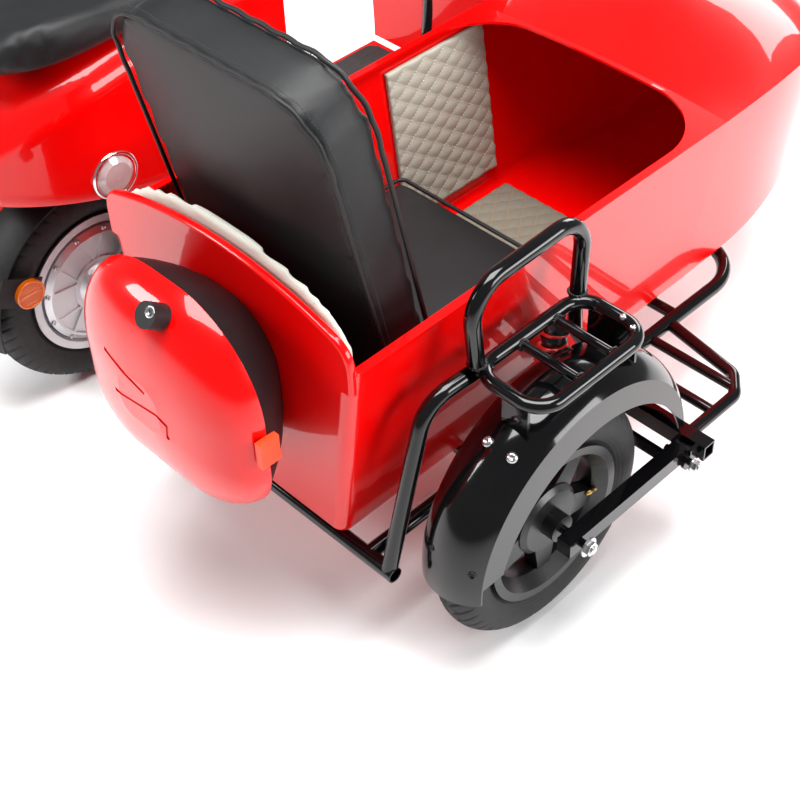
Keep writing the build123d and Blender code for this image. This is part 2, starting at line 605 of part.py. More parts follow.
CROSS_BORE_R = FRAME_R + 0.2 - 2.2
CROSS_BORE_L = 50.0
side_frame -= rod((REAR_CROSS_X, REAR_CROSS_END_Y - 5, FRAME_Z),
                  (REAR_CROSS_X, REAR_CROSS_END_Y + CROSS_BORE_L, FRAME_Z), CROSS_BORE_R)

# Wheel arm: a U of square tube that trails from lugs behind the stub, with the axle
ARM_PIVOT = (386.0, 190.0)
ARM_RUN_Y = (-1051.0, -901.0)
ARM_TUBE = (26.0, 28.0)
PIVOT_PIN_R = 6.0
for y in ARM_RUN_Y:
    for edge in (-1, 1):
        near = y + edge * (ARM_TUBE[0] / 2 + 3.5)
        side_frame += box(ARM_PIVOT[0], stub_x0 + 2, near - 3, near + 3, ARM_PIVOT[1] - 15, stub_z1)
        side_frame += wheel_cylinder((ARM_PIVOT[0], near, ARM_PIVOT[1]), 15, -3, 3)
    side_frame -= wheel_cylinder((ARM_PIVOT[0], y, ARM_PIVOT[1]), PIVOT_PIN_R + SEAT_GAP, -30, 30)

wheel_arm = wheel_cylinder(SIDE_AXLE, AXLE_R, ARM_RUN_Y[0] - 26 - SIDE_WHEEL_Y, ARM_RUN_Y[1] + 26 - SIDE_WHEEL_Y)
for y in ARM_RUN_Y:
    wheel_arm += box(SIDE_WHEEL_X - 26, ARM_PIVOT[0], y - ARM_TUBE[0] / 2, y + ARM_TUBE[0] / 2,
                     TYRE_R - ARM_TUBE[1] / 2 - 2, TYRE_R + ARM_TUBE[1] / 2 - 2)
    wheel_arm += wheel_cylinder((ARM_PIVOT[0], y, ARM_PIVOT[1]), 13, -ARM_TUBE[0] / 2, ARM_TUBE[0] / 2)
    wheel_arm += wheel_cylinder((ARM_PIVOT[0], y, ARM_PIVOT[1]), PIVOT_PIN_R, -28, 28)
cross_at = ARM_PIVOT[0] - 20
wheel_arm -= box(ARM_PIVOT[0] - 2, 420, -1100, -860, ARM_PIVOT[1] + 13, 260)
wheel_arm += box(cross_at - 4, cross_at + 4, ARM_RUN_Y[0], ARM_RUN_Y[1], ARM_PIVOT[1] - 10, ARM_PIVOT[1] + 12)
SIDE_SHOCK_LOW = (196.0, 236.0)
SIDE_SHOCK_HIGH = (262.0, 474.0)
SIDE_SHOCK_Y = -893.0
wheel_arm += box(SIDE_SHOCK_LOW[0] - 13, SIDE_SHOCK_LOW[0] + 13, -911, -905, 200, SIDE_SHOCK_LOW[1] + 12)
wheel_arm += rod((SIDE_SHOCK_LOW[0], -911, SIDE_SHOCK_LOW[1]), (SIDE_SHOCK_LOW[0], -881, SIDE_SHOCK_LOW[1]), 5)
NODES["wheel_arm"] = wheel_arm
NODES["side_shock"] = shock(SIDE_SHOCK_LOW, SIDE_SHOCK_HIGH, SIDE_SHOCK_Y, 11, 5.3)
NODES["sidecar_frame"] = side_frame

# Step guard beside the tub's front: a bent outer tube and two cross bars
GUARD_Y = -1037.0
step_end = RIGHT_RAIL_Y - FRAME_R - SEAT_GAP
step = tube([(stub_x1 + SEAT_GAP, GUARD_Y, FRAME_Z), (548, GUARD_Y, FRAME_Z), (588, -1005, FRAME_Z),
             (614, step_end, FRAME_Z)], 11, 26)
for x, reach in ((494, GUARD_Y), (562, GUARD_Y + 12)):
    step += rod((x, reach, FRAME_Z), (x, step_end, FRAME_Z), 9)
step -= rod((300, RIGHT_RAIL_Y, FRAME_Z), (700, RIGHT_RAIL_Y, FRAME_Z), FRAME_R + SEAT_GAP)
NODES["step_guard"] = step

# Rack: a closed hoop of tube, two cross bars, the hand hoop and two legs down to the frame
RACK_RING = [(x, y, RACK_Z) for x, y in ((RACK_X[0], RACK_Y[0]), (RACK_X[1], RACK_Y[0]),
                                         (RACK_X[1], RACK_Y[1]), (RACK_X[0], RACK_Y[1]))]
RACK_BEND = 40.0
rack = ring_tube(RACK_RING, RACK_R, RACK_BEND)
for x in (154, 227):
    rack += rod((x, RACK_Y[0], RACK_Z - 2), (x, RACK_Y[1], RACK_Z - 2), 7.5)
NODES["rack"] = rack
rack_cuts = [rod((RACK_X[0] - 20, RACK_Y[1], RACK_Z), (RACK_X[1] + 20, RACK_Y[1], RACK_Z), RACK_R + SEAT_GAP),
             ring_tube(RACK_RING, RACK_R + SEAT_GAP, RACK_BEND)]


def coped(shape):
    """The largest solid that is left when the rack's tubes are cut out of it."""
    for cut in rack_cuts:
        shape = max((shape - cut).solids(), key=lambda solid: solid.volume)
    return shape


HOOP_ROUTE = [(RACK_X[0] + 6, RACK_Y[1], RACK_Z), (RACK_X[0] - 10, RACK_Y[1], HOOP_TOP - 2),
              (RACK_X[1] - 2, RACK_Y[1], HOOP_TOP + 6), (RACK_X[1] - 8, RACK_Y[1], RACK_Z)]
HOOP_BEND = 56.0
NODES["hand_hoop"] = coped(tube(HOOP_ROUTE, HOOP_R, HOOP_BEND))
leg = tube([(REAR_CROSS_X, RACK_Y[1] + 14, FRAME_Z), (-22, RACK_Y[1] + 12, 488),
            (RACK_X[0] + 14, RACK_Y[1], RACK_Z - 1)], FRAME_R, 62)
leg -= rod((REAR_CROSS_X, RACK_Y[1] - 60, FRAME_Z), (REAR_CROSS_X, RACK_Y[1] + 60, FRAME_Z),
           FRAME_R + 0.2 + SEAT_GAP)
leg -= tube(HOOP_ROUTE, HOOP_R + SEAT_GAP, HOOP_BEND)
NODES["rack_leg"] = coped(leg)
front_leg = tube([(stub_x0 + 12, RACK_Y[1] + 20, stub_z1 - 4), (300, RACK_Y[1] + 14, 420),
                  (280, RACK_Y[1], RACK_Z - 2)], FRAME_R - 1, 40)
front_leg -= box(stub_x0 - 10, stub_x1 + 10, RACK_Y[1] - 60, RACK_Y[1] + 80, stub_z0 - 10, stub_z1 + SEAT_GAP)
front_leg -= tube(HOOP_ROUTE, HOOP_R + SEAT_GAP, HOOP_BEND)
NODES["rack_front_leg"] = coped(front_leg)

# Sidecar wheel's mudguard, with two brackets up to the rack
guard_centre = (GUARD_X, SIDE_WHEEL_Y, TYRE_R)
side_guard = arch_strip(guard_centre, GUARD_R, GUARD_EDGE_R, GUARD_HALF, GUARD_T, *GUARD_ARC)
for side in (-1, 1):
    near, far = sorted((side * GUARD_HALF, side * (GUARD_HALF - GUARD_T)))
    skirt = wheel_cylinder(guard_centre, GUARD_EDGE_R - 1, near, far)
    skirt -= wheel_cylinder((SKIRT_X, SIDE_WHEEL_Y, SKIRT_Z), SKIRT_R, -2 * GUARD_HALF, 2 * GUARD_HALF)
    skirt -= box(GUARD_X - 2 * GUARD_R, GUARD_X + 2 * GUARD_R, -2000, 0, -GUARD_R, SKIRT_LOW)
    side_guard += skirt
NODES["side_mudguard"] = side_guard
guard_form = arch_strip(guard_centre, GUARD_R + SEAT_GAP, GUARD_EDGE_R + SEAT_GAP, GUARD_HALF + 20, 60, 3, 183)
GUARD_STRAPS = ((RACK_X[0], -985.0, 48.0), (RACK_X[1] - 3, -971.0, 90.0))  # x, y, width
brackets = []
for x, y, wide in GUARD_STRAPS:
    strap = box(x - 2.5, x + 2.5, y - wide / 2, y + wide / 2, 400, RACK_Z + 4)
    strap -= guard_form
    for cut in rack_cuts:
        strap -= cut
    brackets += [max(strap.solids(), key=lambda solid: solid.volume)]
NODES["guard_brackets"] = Compound(children=brackets)

# Tub: lofted shell with a crowned front deck, open over the passenger
TUB = (  # x, half width low, half width high, low z, high z, crown
    (TUB_STRAIGHT, TUB_HALF_LOW, TUB_HALF_TOP, TUB_Z0, TUB_Z1, 3),
    (800, TUB_HALF_LOW - 2, TUB_HALF_TOP - 3, TUB_Z0 + 1, TUB_Z1, 26),
    (930, 212, 252, TUB_Z0 + 6, 578, 48),
    (1070, 176, 208, 240, 548, 52),
    (1170, 120, 142, 274, 496, 40),
    (1205, 80, 94, 304, 456, 24),
)


def tub_section(x, low_half, high_half, low, high, crown, inset=0.0):
    low_half, high_half = low_half - inset, high_half - inset
    low, high = low + inset, high - inset
    corner = 26.0 - inset
    profile = (Line((-low_half + corner, low), (low_half - corner, low))
               + ThreePointArc((low_half - corner, low), (low_half - corner * 0.29, low + corner * 0.29),
                               (low_half, low + corner))
               + Line((low_half, low + corner), (high_half, high - 10))
               + ThreePointArc((high_half, high - 10), (0, high + crown), (-high_half, high - 10))
               + Line((-high_half, high - 10), (-low_half, low + corner))
               + ThreePointArc((-low_half, low + corner), (-low_half + corner * 0.29, low + corner * 0.29),
                               (-low_half + corner, low)))
    plane = Plane(origin=(x, TUB_Y, 0), x_dir=(0, 1, 0), z_dir=(1, 0, 0))
    return plane * make_face(profile)


def tub_form(inset):
    """Straight body from the rear wall, and the nose lofted on ahead of it."""
    straight = extrude(tub_section(TUB_X0 + inset, *TUB[0][1:], inset=inset), TUB_STRAIGHT - TUB_X0 - inset)
    rows = TUB[:-1] + ((TUB[-1][0] - inset,) + TUB[-1][1:],)
    form = straight + loft([tub_section(*row, inset=inset) for row in rows])
    rear = form.faces().sort_by(Axis.X)[0].edges()
    return fillet(rear, TUB_CORNER - inset)


tub = tub_form(0) - tub_form(TUB_WALL)
cockpit = box(TUB_X0 + TUB_WALL, COCKPIT_X1, TUB_Y - TUB_HALF_TOP + COCKPIT_LIP, TUB_Y + TUB_HALF_TOP - COCKPIT_LIP,
              TUB_Z1 - 30, TUB_Z1 + 120)
tub -= fillet(cockpit.edges().filter_by(Axis.Z).group_by(Axis.X)[-1], 120)
# The rear wall ends in an arch of three tangent arcs, its rim rounded


def arch_outline(half, rise, shoulder, foot):
    """A flat-topped arch on short straight sides, from its springing line down to the foot."""
    drop = ((half - shoulder) ** 2 - (rise - shoulder) ** 2) / (2 * (rise - shoulder))
    turn = atan2(drop, half - shoulder)
    side, top = half - shoulder + shoulder * cos(turn), shoulder * sin(turn)
    middle = (half - shoulder + shoulder * cos(turn / 2), shoulder * sin(turn / 2))
    return make_face(Line((-half, -foot), (-half, 0)) + ThreePointArc((-half, 0), (-middle[0], middle[1]), (-side, top))
                     + ThreePointArc((-side, top), (0, rise), (side, top))
                     + ThreePointArc((side, top), middle, (half, 0)) + Line((half, 0), (half, -foot))
                     + Line((half, -foot), (-half, -foot)))


arch_plane = Plane(origin=(TUB_X0, TUB_Y, TUB_Z1), x_dir=(0, 1, 0), z_dir=(1, 0, 0))
arch = extrude(arch_plane * arch_outline(ARCH_HALF, ARCH_RISE, ARCH_SHOULDER, ARCH_FOOT), ARCH_T)
rim = [edge for edge in arch.edges().filter_by(Axis.X, reverse=True) if edge.center().Z > TUB_Z1 - ARCH_FOOT + 1]
arch = fillet(rim, ARCH_ROUND)
NODES["tub"] = tub + arch

# Inside the tub: floor mat, side liners, bench with its cushion, backrest and rear pad
inner_floor = TUB_Z0 + TUB_WALL
MAT_T = 6.0
BENCH_X = (TUB_X0 + ARCH_T + 12, 440.0)
BENCH_Z = 290.0
CUSHION_TOP = 370.0
PANEL = 12.0
BENCH_HALF = 196.0
NODES["floor_liner"] = box(BENCH_X[1] + 12, TUB_STRAIGHT, TUB_Y - 196, TUB_Y + 196, inner_floor + SEAT_GAP,
                           inner_floor + SEAT_GAP + MAT_T)
bench = box(BENCH_X[0], BENCH_X[1], TUB_Y - BENCH_HALF, TUB_Y + BENCH_HALF, BENCH_Z - PANEL, BENCH_Z)
bench += box(BENCH_X[1] - PANEL, BENCH_X[1], TUB_Y - BENCH_HALF, TUB_Y + BENCH_HALF, inner_floor + SEAT_GAP,
             BENCH_Z)
bench += box(BENCH_X[0], BENCH_X[0] + PANEL, TUB_Y - BENCH_HALF, TUB_Y + BENCH_HALF, inner_floor + SEAT_GAP,
             BENCH_Z)
NODES["bench_base"] = bench
cushion = box(0, BENCH_X[1] + 6, TUB_Y - 216, TUB_Y + 216, BENCH_Z + SEAT_GAP, CUSHION_TOP)
NODES["bench_cushion"] = fillet(cushion.edges(), 14)
BACK_LEAN = 12.0
BACK_CORNER = 90.0
BACK = (88.0, 430.0, 602.0)
back = Pos(0, 0, 20 + BACK[2] / 2) * Box(*BACK)
back = fillet(back.edges().filter_by(Axis.X).group_by(Axis.Z)[-1], BACK_CORNER)
back = Pos(71, TUB_Y, 352) * Rot(0, -BACK_LEAN, 0) * back
back -= box(-400, 400, -1200, 0, 0, CUSHION_TOP + SEAT_GAP)
NODES["backrest"] = back
pad_plane = Plane(origin=(TUB_X0 + ARCH_T + SEAT_GAP, TUB_Y, TUB_Z1), x_dir=(0, 1, 0), z_dir=(1, 0, 0))
pad = pad_plane * (Ellipse(250, ARCH_RISE + 22) + Pos(0, -20) * Rectangle(500, 40))
pad = extrude(pad, 20) - box(-400, 400, -2000, 0, 0, TUB_Z1 - 40)
NODES["rear_pad"] = pad

# Quilted liners on the tub's side walls
LINER_T = 8.0
LINER_X = (BENCH_X[1] + 16, TUB_STRAIGHT - 6)
lean = (TUB_HALF_TOP - TUB_HALF_LOW) / (TUB_Z1 - 10 - TUB_Z0 - 26)
liners = []
for side in (-1, 1):
    low_z, high_z = inner_floor + 40, TUB_Z1 - 34
    low_y = TUB_HALF_LOW - TUB_WALL - SEAT_GAP + lean * (low_z - TUB_Z0 - 26)
    high_y = TUB_HALF_LOW - TUB_WALL - SEAT_GAP + lean * (high_z - TUB_Z0 - 26)
    corners = [(side * low_y, low_z), (side * high_y, high_z), (side * (high_y - LINER_T), high_z),
               (side * (low_y - LINER_T), low_z)]
    plane = Plane(origin=(LINER_X[0], TUB_Y, 0), x_dir=(0, 1, 0), z_dir=(1, 0, 0))
    liners.append(extrude(plane * make_face(Polyline(*corners, close=True)), LINER_X[1] - LINER_X[0]).solid())
NODES["side_liners"] = Compound(children=liners)

# Case on the rear wall: tapered base, domed lid hinged at its left edge, lock and latch
SEAM_X = TUB_X0 - CASE_BASE_D - SEAT_GAP
CASE_CORNERS = (160.0, 112.0)


def case_outline(scale, inset=0.0):
    """Seam shape of the case: wide round shoulders above, tighter corners below."""
    half = CASE_HALF * scale - inset
    top = CASE_TOP * scale - inset
    low = CASE_LOW * scale - inset
    big = CASE_CORNERS[0] * scale - inset
    small = CASE_CORNERS[1] * scale - inset
    part = 1 - sqrt(0.5)
    pieces = (Line((-half + small, -low), (half - small, -low))
              + ThreePointArc((half - small, -low), (half - small * part, -low + small * part), (half, -low + small))
              + Line((half, -low + small), (half, top - big))
              + ThreePointArc((half, top - big), (half - big * part, top - big * part), (half - big, top))
              + Line((half - big, top), (-half + big, top))
              + ThreePointArc((-half + big, top), (-half + big * part, top - big * part), (-half, top - big))
              + Line((-half, top - big), (-half, -low + small))
              + ThreePointArc((-half, -low + small), (-half + small * part, -low + small * part),
                              (-half + small, -low)))
    return make_face(pieces)


def case_plane(x):
    """Looks rearwards, its first axis to the right of the vehicle."""
    return Plane(origin=(x, TUB_Y, CASE_Z), x_dir=(0, 1, 0), z_dir=(1, 0, 0))


LID_STEPS = ((0, 1.0), (0.42, 0.93), (0.8, 0.68), (0.99, 0.24))
outer = loft([case_plane(SEAM_X - LID_DEPTH * depth) * case_outline(scale) for depth, scale in LID_STEPS])
inner = loft([case_plane(SEAM_X - (LID_DEPTH - CASE_WALL) * depth) * case_outline(scale, CASE_WALL)
              for depth, scale in LID_STEPS])
lid = outer - inner
# Two strokes pressed into the lid, seen from behind, cut a little way into its outer face
GROOVE_DEPTH = 1.6
GROOVE_R = 3.5
GROOVES = (((72, 54), (-18, 30)), ((58, -14), (-40, 2), (-62, -10), (-58, -34)))  # y and z from the centre
skin = outer - loft([case_plane(SEAM_X - (LID_DEPTH - GROOVE_DEPTH) * depth) * case_outline(scale, GROOVE_DEPTH)
                     for depth, scale in LID_STEPS])
for stroke in GROOVES:
    for start, end in zip(stroke[:-1], stroke[1:]):
        (y0, z0), (y1, z1) = start, end
        angle = degrees(atan2(z1 - z0, y1 - y0))
        length = sqrt((y1 - y0) ** 2 + (z1 - z0) ** 2)
        middle = Pos(SEAM_X - LID_DEPTH, TUB_Y + (y0 + y1) / 2, CASE_Z + (z0 + z1) / 2)
        slot = middle * Rot(angle, 0, 0) * Box(2 * LID_DEPTH, length, 2 * GROOVE_R)
        slot += Pos(SEAM_X - LID_DEPTH, TUB_Y + y1, CASE_Z + z1) * Rot(0, 90, 0) * Cylinder(GROOVE_R, 2 * LID_DEPTH)
        lid -= slot & skin
LID_HINGE = (SEAM_X - 1.0, TUB_Y + CASE_HALF + 9.0)
HINGE_R = 5.0
for low, high in ((-44, -24), (24, 44)):
    barrel_piece = Pos(LID_HINGE[0], LID_HINGE[1], CASE_Z + (low + high) / 2) * Cylinder(HINGE_R, high - low)
    tab = box(LID_HINGE[0] - 6, LID_HINGE[0] - 1, LID_HINGE[1] - 14, LID_HINGE[1], CASE_Z + low, CASE_Z + high)
    lid += barrel_piece + (tab - inner)
base_steps = ((0, 0.62), (0.5, 0.84), (1.0, 0.985))
base = loft([case_plane(TUB_X0 - SEAT_GAP - (CASE_BASE_D - SEAT_GAP) * depth) * case_outline(scale)
             for depth, scale in base_steps])
base_inner = loft([case_plane(TUB_X0 - SEAT_GAP - (CASE_BASE_D - SEAT_GAP + 0.1) * depth - CASE_WALL * (1 - depth))
                   * case_outline(scale, CASE_WALL) for depth, scale in base_steps])
base -= base_inner
base += (Pos(LID_HINGE[0], LID_HINGE[1], CASE_Z) * Cylinder(HINGE_R, 2 * (24 - SEAT_GAP))
         + box(LID_HINGE[0] + 1.2, LID_HINGE[0] + 6, LID_HINGE[1] - 17, LID_HINGE[1],
               CASE_Z - 24 + SEAT_GAP, CASE_Z + 24 - SEAT_GAP) - base_inner)
NODES["case_base"] = base
NODES["case_lid"] = lid

LOCK_AT = (-626.0, 632.0)
lock_ray = Pos(SEAM_X - 40, LOCK_AT[0], LOCK_AT[1])
lock_tilt = 38.0
lock = lock_ray * Rot(0, -90 + lock_tilt, 0) * Cylinder(19, 60)
lock_grown = loft([case_plane(SEAM_X - LID_DEPTH * depth) * case_outline(scale, -0.8)
                   for depth, scale in ((-0.4, 1.0),) + LID_STEPS])
lock = lock - lock_grown
lock = max(lock.solids(), key=lambda solid: solid.center().Z)
NODES["case_lock"] = lock

latch = box(SEAM_X - 22, SEAM_X + 12, TUB_Y - CASE_HALF - 12, TUB_Y - CASE_HALF + 4, CASE_Z - 38, CASE_Z + 8)
NODES["case_latch"] = latch - lock_grown - box(SEAM_X - 200, SEAM_X + 60, TUB_Y - CASE_HALF - 0.5, TUB_Y, 0, 900)

# Struts that join the sidecar frame to the scooter frame
LINKS = (  # x on the sidecar, x on the scooter, z there
    (560.0, 560.0, RAIL_Z),
    (150.0, 352.0, 298.0),
    (770.0, 800.0, RAIL_Z),
)
LINK_R = 12.5
links = []
rails_grown = floor_rail(-1, RAIL_R + SEAT_GAP)
rails_grown += rod((REAR_CROSS_X, LEFT_RAIL_Y, FRAME_Z), (RAIL_FRONT_X, LEFT_RAIL_Y, FRAME_Z), FRAME_R + SEAT_GAP)
for x0, x1, z1 in LINKS:
    start = Vector(x0, LEFT_RAIL_Y, FRAME_Z)
    end = Vector(x1, -RAIL_Y, z1)
    strut = rod(tuple(start), tuple(end), LINK_R) - rails_grown
    links.append(max(strut.solids(), key=lambda solid: solid.volume))
NODES["link_struts"] = Compound(children=links)

# Move everything so that the origin is the centre of the footprint, and write the files
whole = Compound(children=[solid for shape in NODES.values() for solid in shape.solids()]).bounding_box()
SHIFT = (-(whole.min.X + whole.max.X) / 2, -(whole.min.Y + whole.max.Y) / 2, -whole.min.Z)
os.makedirs("parts", exist_ok=True)
for node, shape in NODES.items():
    solids = [solid.translate(SHIFT, transform=True) for solid in shape.solids()]
    export_step(solids[0] if len(solids) == 1 else Compound(children=solids), "parts/" + node + ".step")
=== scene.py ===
# %% [markdown]
# # Small electric scooter with a passenger sidecar
# The rigid pieces come ready made as a fixed frame, in metres, with +X forward and +Z up. This file gives each
# surface its finish, makes the upholstery, the treads and the small fittings as meshes, and sets a plain studio
# round them. Each step first says what the piece is on the real vehicle, then how it is made and why that way.

# %% Load the frame
import json
import math
import time

import bpy
import bmesh
from mathutils import Matrix, Vector
from mathutils.bvhtree import BVHTree


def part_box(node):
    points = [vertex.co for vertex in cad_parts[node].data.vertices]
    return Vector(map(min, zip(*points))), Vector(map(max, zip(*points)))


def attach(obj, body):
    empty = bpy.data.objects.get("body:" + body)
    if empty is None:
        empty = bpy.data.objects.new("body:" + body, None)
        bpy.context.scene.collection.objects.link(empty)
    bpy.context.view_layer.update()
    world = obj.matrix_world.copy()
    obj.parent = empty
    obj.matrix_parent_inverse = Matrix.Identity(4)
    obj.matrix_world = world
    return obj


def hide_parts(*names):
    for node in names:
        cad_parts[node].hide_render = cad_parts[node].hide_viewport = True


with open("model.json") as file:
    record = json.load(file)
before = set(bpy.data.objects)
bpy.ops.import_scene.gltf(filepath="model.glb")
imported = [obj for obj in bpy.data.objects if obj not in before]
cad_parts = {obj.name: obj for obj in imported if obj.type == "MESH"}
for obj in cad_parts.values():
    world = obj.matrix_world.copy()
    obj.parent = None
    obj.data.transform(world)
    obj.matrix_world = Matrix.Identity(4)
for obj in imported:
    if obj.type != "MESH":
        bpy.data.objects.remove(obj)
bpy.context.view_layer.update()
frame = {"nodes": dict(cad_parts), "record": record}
SLOT_OF = {part["node"]: part["material_slot"] for part in frame["record"]["subparts"]}

# %% [markdown]
# ## Camera
# The picture looks down on the rear right corner. Its lens, height and angles were worked out from the two visible
# wheels, which have a known size. The camera's place is measured from the point where the sidecar's wheel meets the
# floor, so that it follows the frame. A small vertical shift gives the picture's framing.

# %% Camera at the photograph's angle
CAMERA_FROM_CONTACT = Vector((-1.2041, -0.9990, 1.9699))
CAMERA_AZIMUTH = math.radians(47.058)
CAMERA_DOWN = math.radians(43.656)
CAMERA_ROLL = math.radians(-2.507)
LENS_MM = 69.06
SENSOR_MM = 36.0
FRAME_SHIFT = -0.02125


def box_centre(node):
    low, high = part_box(node)
    return (Vector(low) + Vector(high)) / 2


def aimed_camera(place, azimuth, down, roll):
    forward = Vector((math.cos(down) * math.cos(azimuth), math.cos(down) * math.sin(azimuth), -math.sin(down)))
    level = Vector((math.sin(azimuth), -math.cos(azimuth), 0))
    above = level.cross(forward)
    right = level * math.cos(roll) + above * math.sin(roll)
    up = right.cross(forward)
    camera = bpy.data.objects.new("camera", bpy.data.cameras.new("camera"))
    camera.matrix_world = Matrix.Translation(place) @ Matrix((right, up, -forward)).transposed().to_4x4()
    camera.data.sensor_width = SENSOR_MM
    camera.data.lens = LENS_MM
    camera.data.shift_y = FRAME_SHIFT
    bpy.context.scene.collection.objects.link(camera)
    return camera


SIDE_AXLE = box_centre("side_tyre")
REAR_AXLE = box_centre("rear_tyre")
FRONT_AXLE = box_centre("front_tyre")
contact = Vector((SIDE_AXLE.x, SIDE_AXLE.y, 0))
bpy.context.scene.camera = aimed_camera(contact + CAMERA_FROM_CONTACT, CAMERA_AZIMUTH, CAMERA_DOWN, CAMERA_ROLL)
print("camera at", tuple(round(v, 3) for v in bpy.context.scene.camera.location))

# %% [markdown]
# ## Studio
# Gloss paint shows the room more than itself. A bright, pale floor gives the pink sheen low on the red panels, and
# soft boxes give the white patches on the round lid and the mudguard.

# %% Floor, sky and soft boxes
FLOOR_SIZE = 30.0
bpy.context.scene.view_settings.view_transform = "Standard"


def link(obj):
    bpy.context.scene.collection.objects.link(obj)
    return obj


def mesh_object(name, points, faces, smooth=True):
    mesh = bpy.data.meshes.new(name)
    mesh.from_pydata([tuple(point) for point in points], [], faces)
    mesh.validate()
    for face in mesh.polygons:
        face.use_smooth = smooth
    return link(bpy.data.objects.new(name, mesh))


def plain_material(name, colour, roughness):
    material = bpy.data.materials.new(name)
    material.use_nodes = True
    shader = material.node_tree.nodes["Principled BSDF"]
    shader.inputs["Base Color"].default_value = (*colour, 1)
    shader.inputs["Roughness"].default_value = roughness
    return material


half = FLOOR_SIZE / 2
floor = mesh_object("studio_floor", [(-half, -half, 0), (half, -half, 0), (half, half, 0), (-half, half, 0)],
                    [(0, 1, 2, 3)], smooth=False)
floor.data.materials.append(plain_material("studio_floor", (0.9, 0.9, 0.9), 0.6))

world = bpy.data.worlds.new("studio_air")
world.use_nodes = True
world.node_tree.nodes["Background"].inputs["Color"].default_value = (1, 1, 1, 1)
world.node_tree.nodes["Background"].inputs["Strength"].default_value = 0.24
bpy.context.scene.world = world


def soft_box(name, place, target, width, height, power):
    light = bpy.data.lights.new(name, "AREA")
    light.shape = "RECTANGLE"
    light.size = width
    light.size_y = height
    light.energy = power
    lamp = link(bpy.data.objects.new(name, light))
    lamp.location = place
    lamp.rotation_euler = (Vector(target) - Vector(place)).to_track_quat("-Z", "Y").to_euler()
    return lamp


MIDDLE = (0, -0.2, 0.4)
soft_box("soft_box_top", (-0.3, -0.4, 3.6), MIDDLE, 2.6, 2.0, 230)
soft_box("soft_box_rear_left", (-2.6, 1.8, 2.2), MIDDLE, 0.9, 1.1, 60)
soft_box("soft_box_right", (0.8, -3.2, 1.6), MIDDLE, 2.0, 1.2, 90)
soft_box("soft_box_front", (3.2, 0.6, 2.0), MIDDLE, 1.6, 1.6, 70)
print("studio set")

# %% [markdown]
# ## Shared surface effects
# Vinyl, rubber and moulded plastic all have a fine pebble; every long-used surface has a little dust and unevenness.
# Each such effect is one node group with named sockets, built once and placed in many materials with its own values.

# %% Node group helpers


def node_group(name, inputs, outputs):
    """A shader group with float inputs {name: value}, a Vector input and float outputs."""
    tree = bpy.data.node_groups.new(name, "ShaderNodeTree")
    tree.interface.new_socket(name="Vector", in_out="INPUT", socket_type="NodeSocketVector")
    for label, value in inputs.items():
        socket = tree.interface.new_socket(name=label, in_out="INPUT", socket_type="NodeSocketFloat")
        socket.default_value = value
    for label in outputs:
        tree.interface.new_socket(name=label, in_out="OUTPUT", socket_type="NodeSocketFloat")
    return tree, tree.nodes.new("NodeGroupInput"), tree.nodes.new("NodeGroupOutput")


def add_node(tree, kind, sources=None, **settings):
    """A node of that kind: settings are its properties, sources are its inputs as sockets or values."""
    node = tree.nodes.new("ShaderNode" + kind)
    for key, value in settings.items():
        setattr(node, key, value)
    for key, value in (sources or {}).items():
        if isinstance(value, bpy.types.NodeSocket):
            tree.links.new(value, node.inputs[key])
        else:
            node.inputs[key].default_value = value
    return node


def arithmetic(tree, operation, first, second, clamp=False):
    return add_node(tree, "Math", {0: first, 1: second}, operation=operation, use_clamp=clamp).outputs[0]


# %% [markdown]
# ### Pebble grain
# Voronoi cells bent by a little noise look like the pebble pressed into vinyl. The cell distance is the height, and
# a slow noise gives the patches where the skin is rubbed smoother.

# %% Pebble grain group

PEBBLE_BEND = 0.0006


def build_pebble():
    tree, given, out = node_group("pebble_grain", {"Scale": 600.0, "Patch Scale": 12.0}, ["Height", "Patches"])
    bend = add_node(tree, "TexNoise", {"Vector": given.outputs["Vector"], "Scale": given.outputs["Scale"]})
    moved = add_node(tree, "VectorMath", {0: bend.outputs["Color"], 1: (PEBBLE_BEND,) * 3}, operation="MULTIPLY")
    place = add_node(tree, "VectorMath", {0: given.outputs["Vector"], 1: moved.outputs[0]}, operation="ADD")
    cells = add_node(tree, "TexVoronoi", {"Vector": place.outputs[0], "Scale": given.outputs["Scale"]},
                     feature="SMOOTH_F1")
    slow = add_node(tree, "TexNoise", {"Vector": given.outputs["Vector"], "Scale": given.outputs["Patch Scale"],
                                       "Detail": 3.0})
    tree.links.new(cells.outputs["Distance"], out.inputs["Height"])
    tree.links.new(slow.outputs["Fac"], out.inputs["Patches"])
    return tree


PEBBLE = build_pebble()

# %% [markdown]
# ### Dust and handling
# Two noises, one broad and one fine, make a mask for dust and finger marks. A material mixes it into its roughness
# and, a little, into its colour.

# %% Dust group


def build_dust():
    tree, given, out = node_group("dust", {"Broad Scale": 4.0, "Fine Scale": 90.0, "Low": 0.4, "High": 0.8,
                                           "Amount": 0.3}, ["Mask", "Fine"])
    broad = add_node(tree, "TexNoise", {"Vector": given.outputs["Vector"], "Scale": given.outputs["Broad Scale"],
                                        "Detail": 5.0, "Roughness": 0.6})
    fine = add_node(tree, "TexNoise", {"Vector": given.outputs["Vector"], "Scale": given.outputs["Fine Scale"],
                                       "Detail": 2.0})
    ramp = add_node(tree, "MapRange", {"Value": broad.outputs["Fac"], "From Min": given.outputs["Low"],
                                       "From Max": given.outputs["High"]})
    both = arithmetic(tree, "MULTIPLY", ramp.outputs[0], fine.outputs["Fac"])
    tree.links.new(arithmetic(tree, "MULTIPLY", both, given.outputs["Amount"], clamp=True), out.inputs["Mask"])
    tree.links.new(fine.outputs["Fac"], out.inputs["Fine"])
    return tree


DUST = build_dust()
print("shared groups:", [tree.name for tree in (PEBBLE, DUST)])

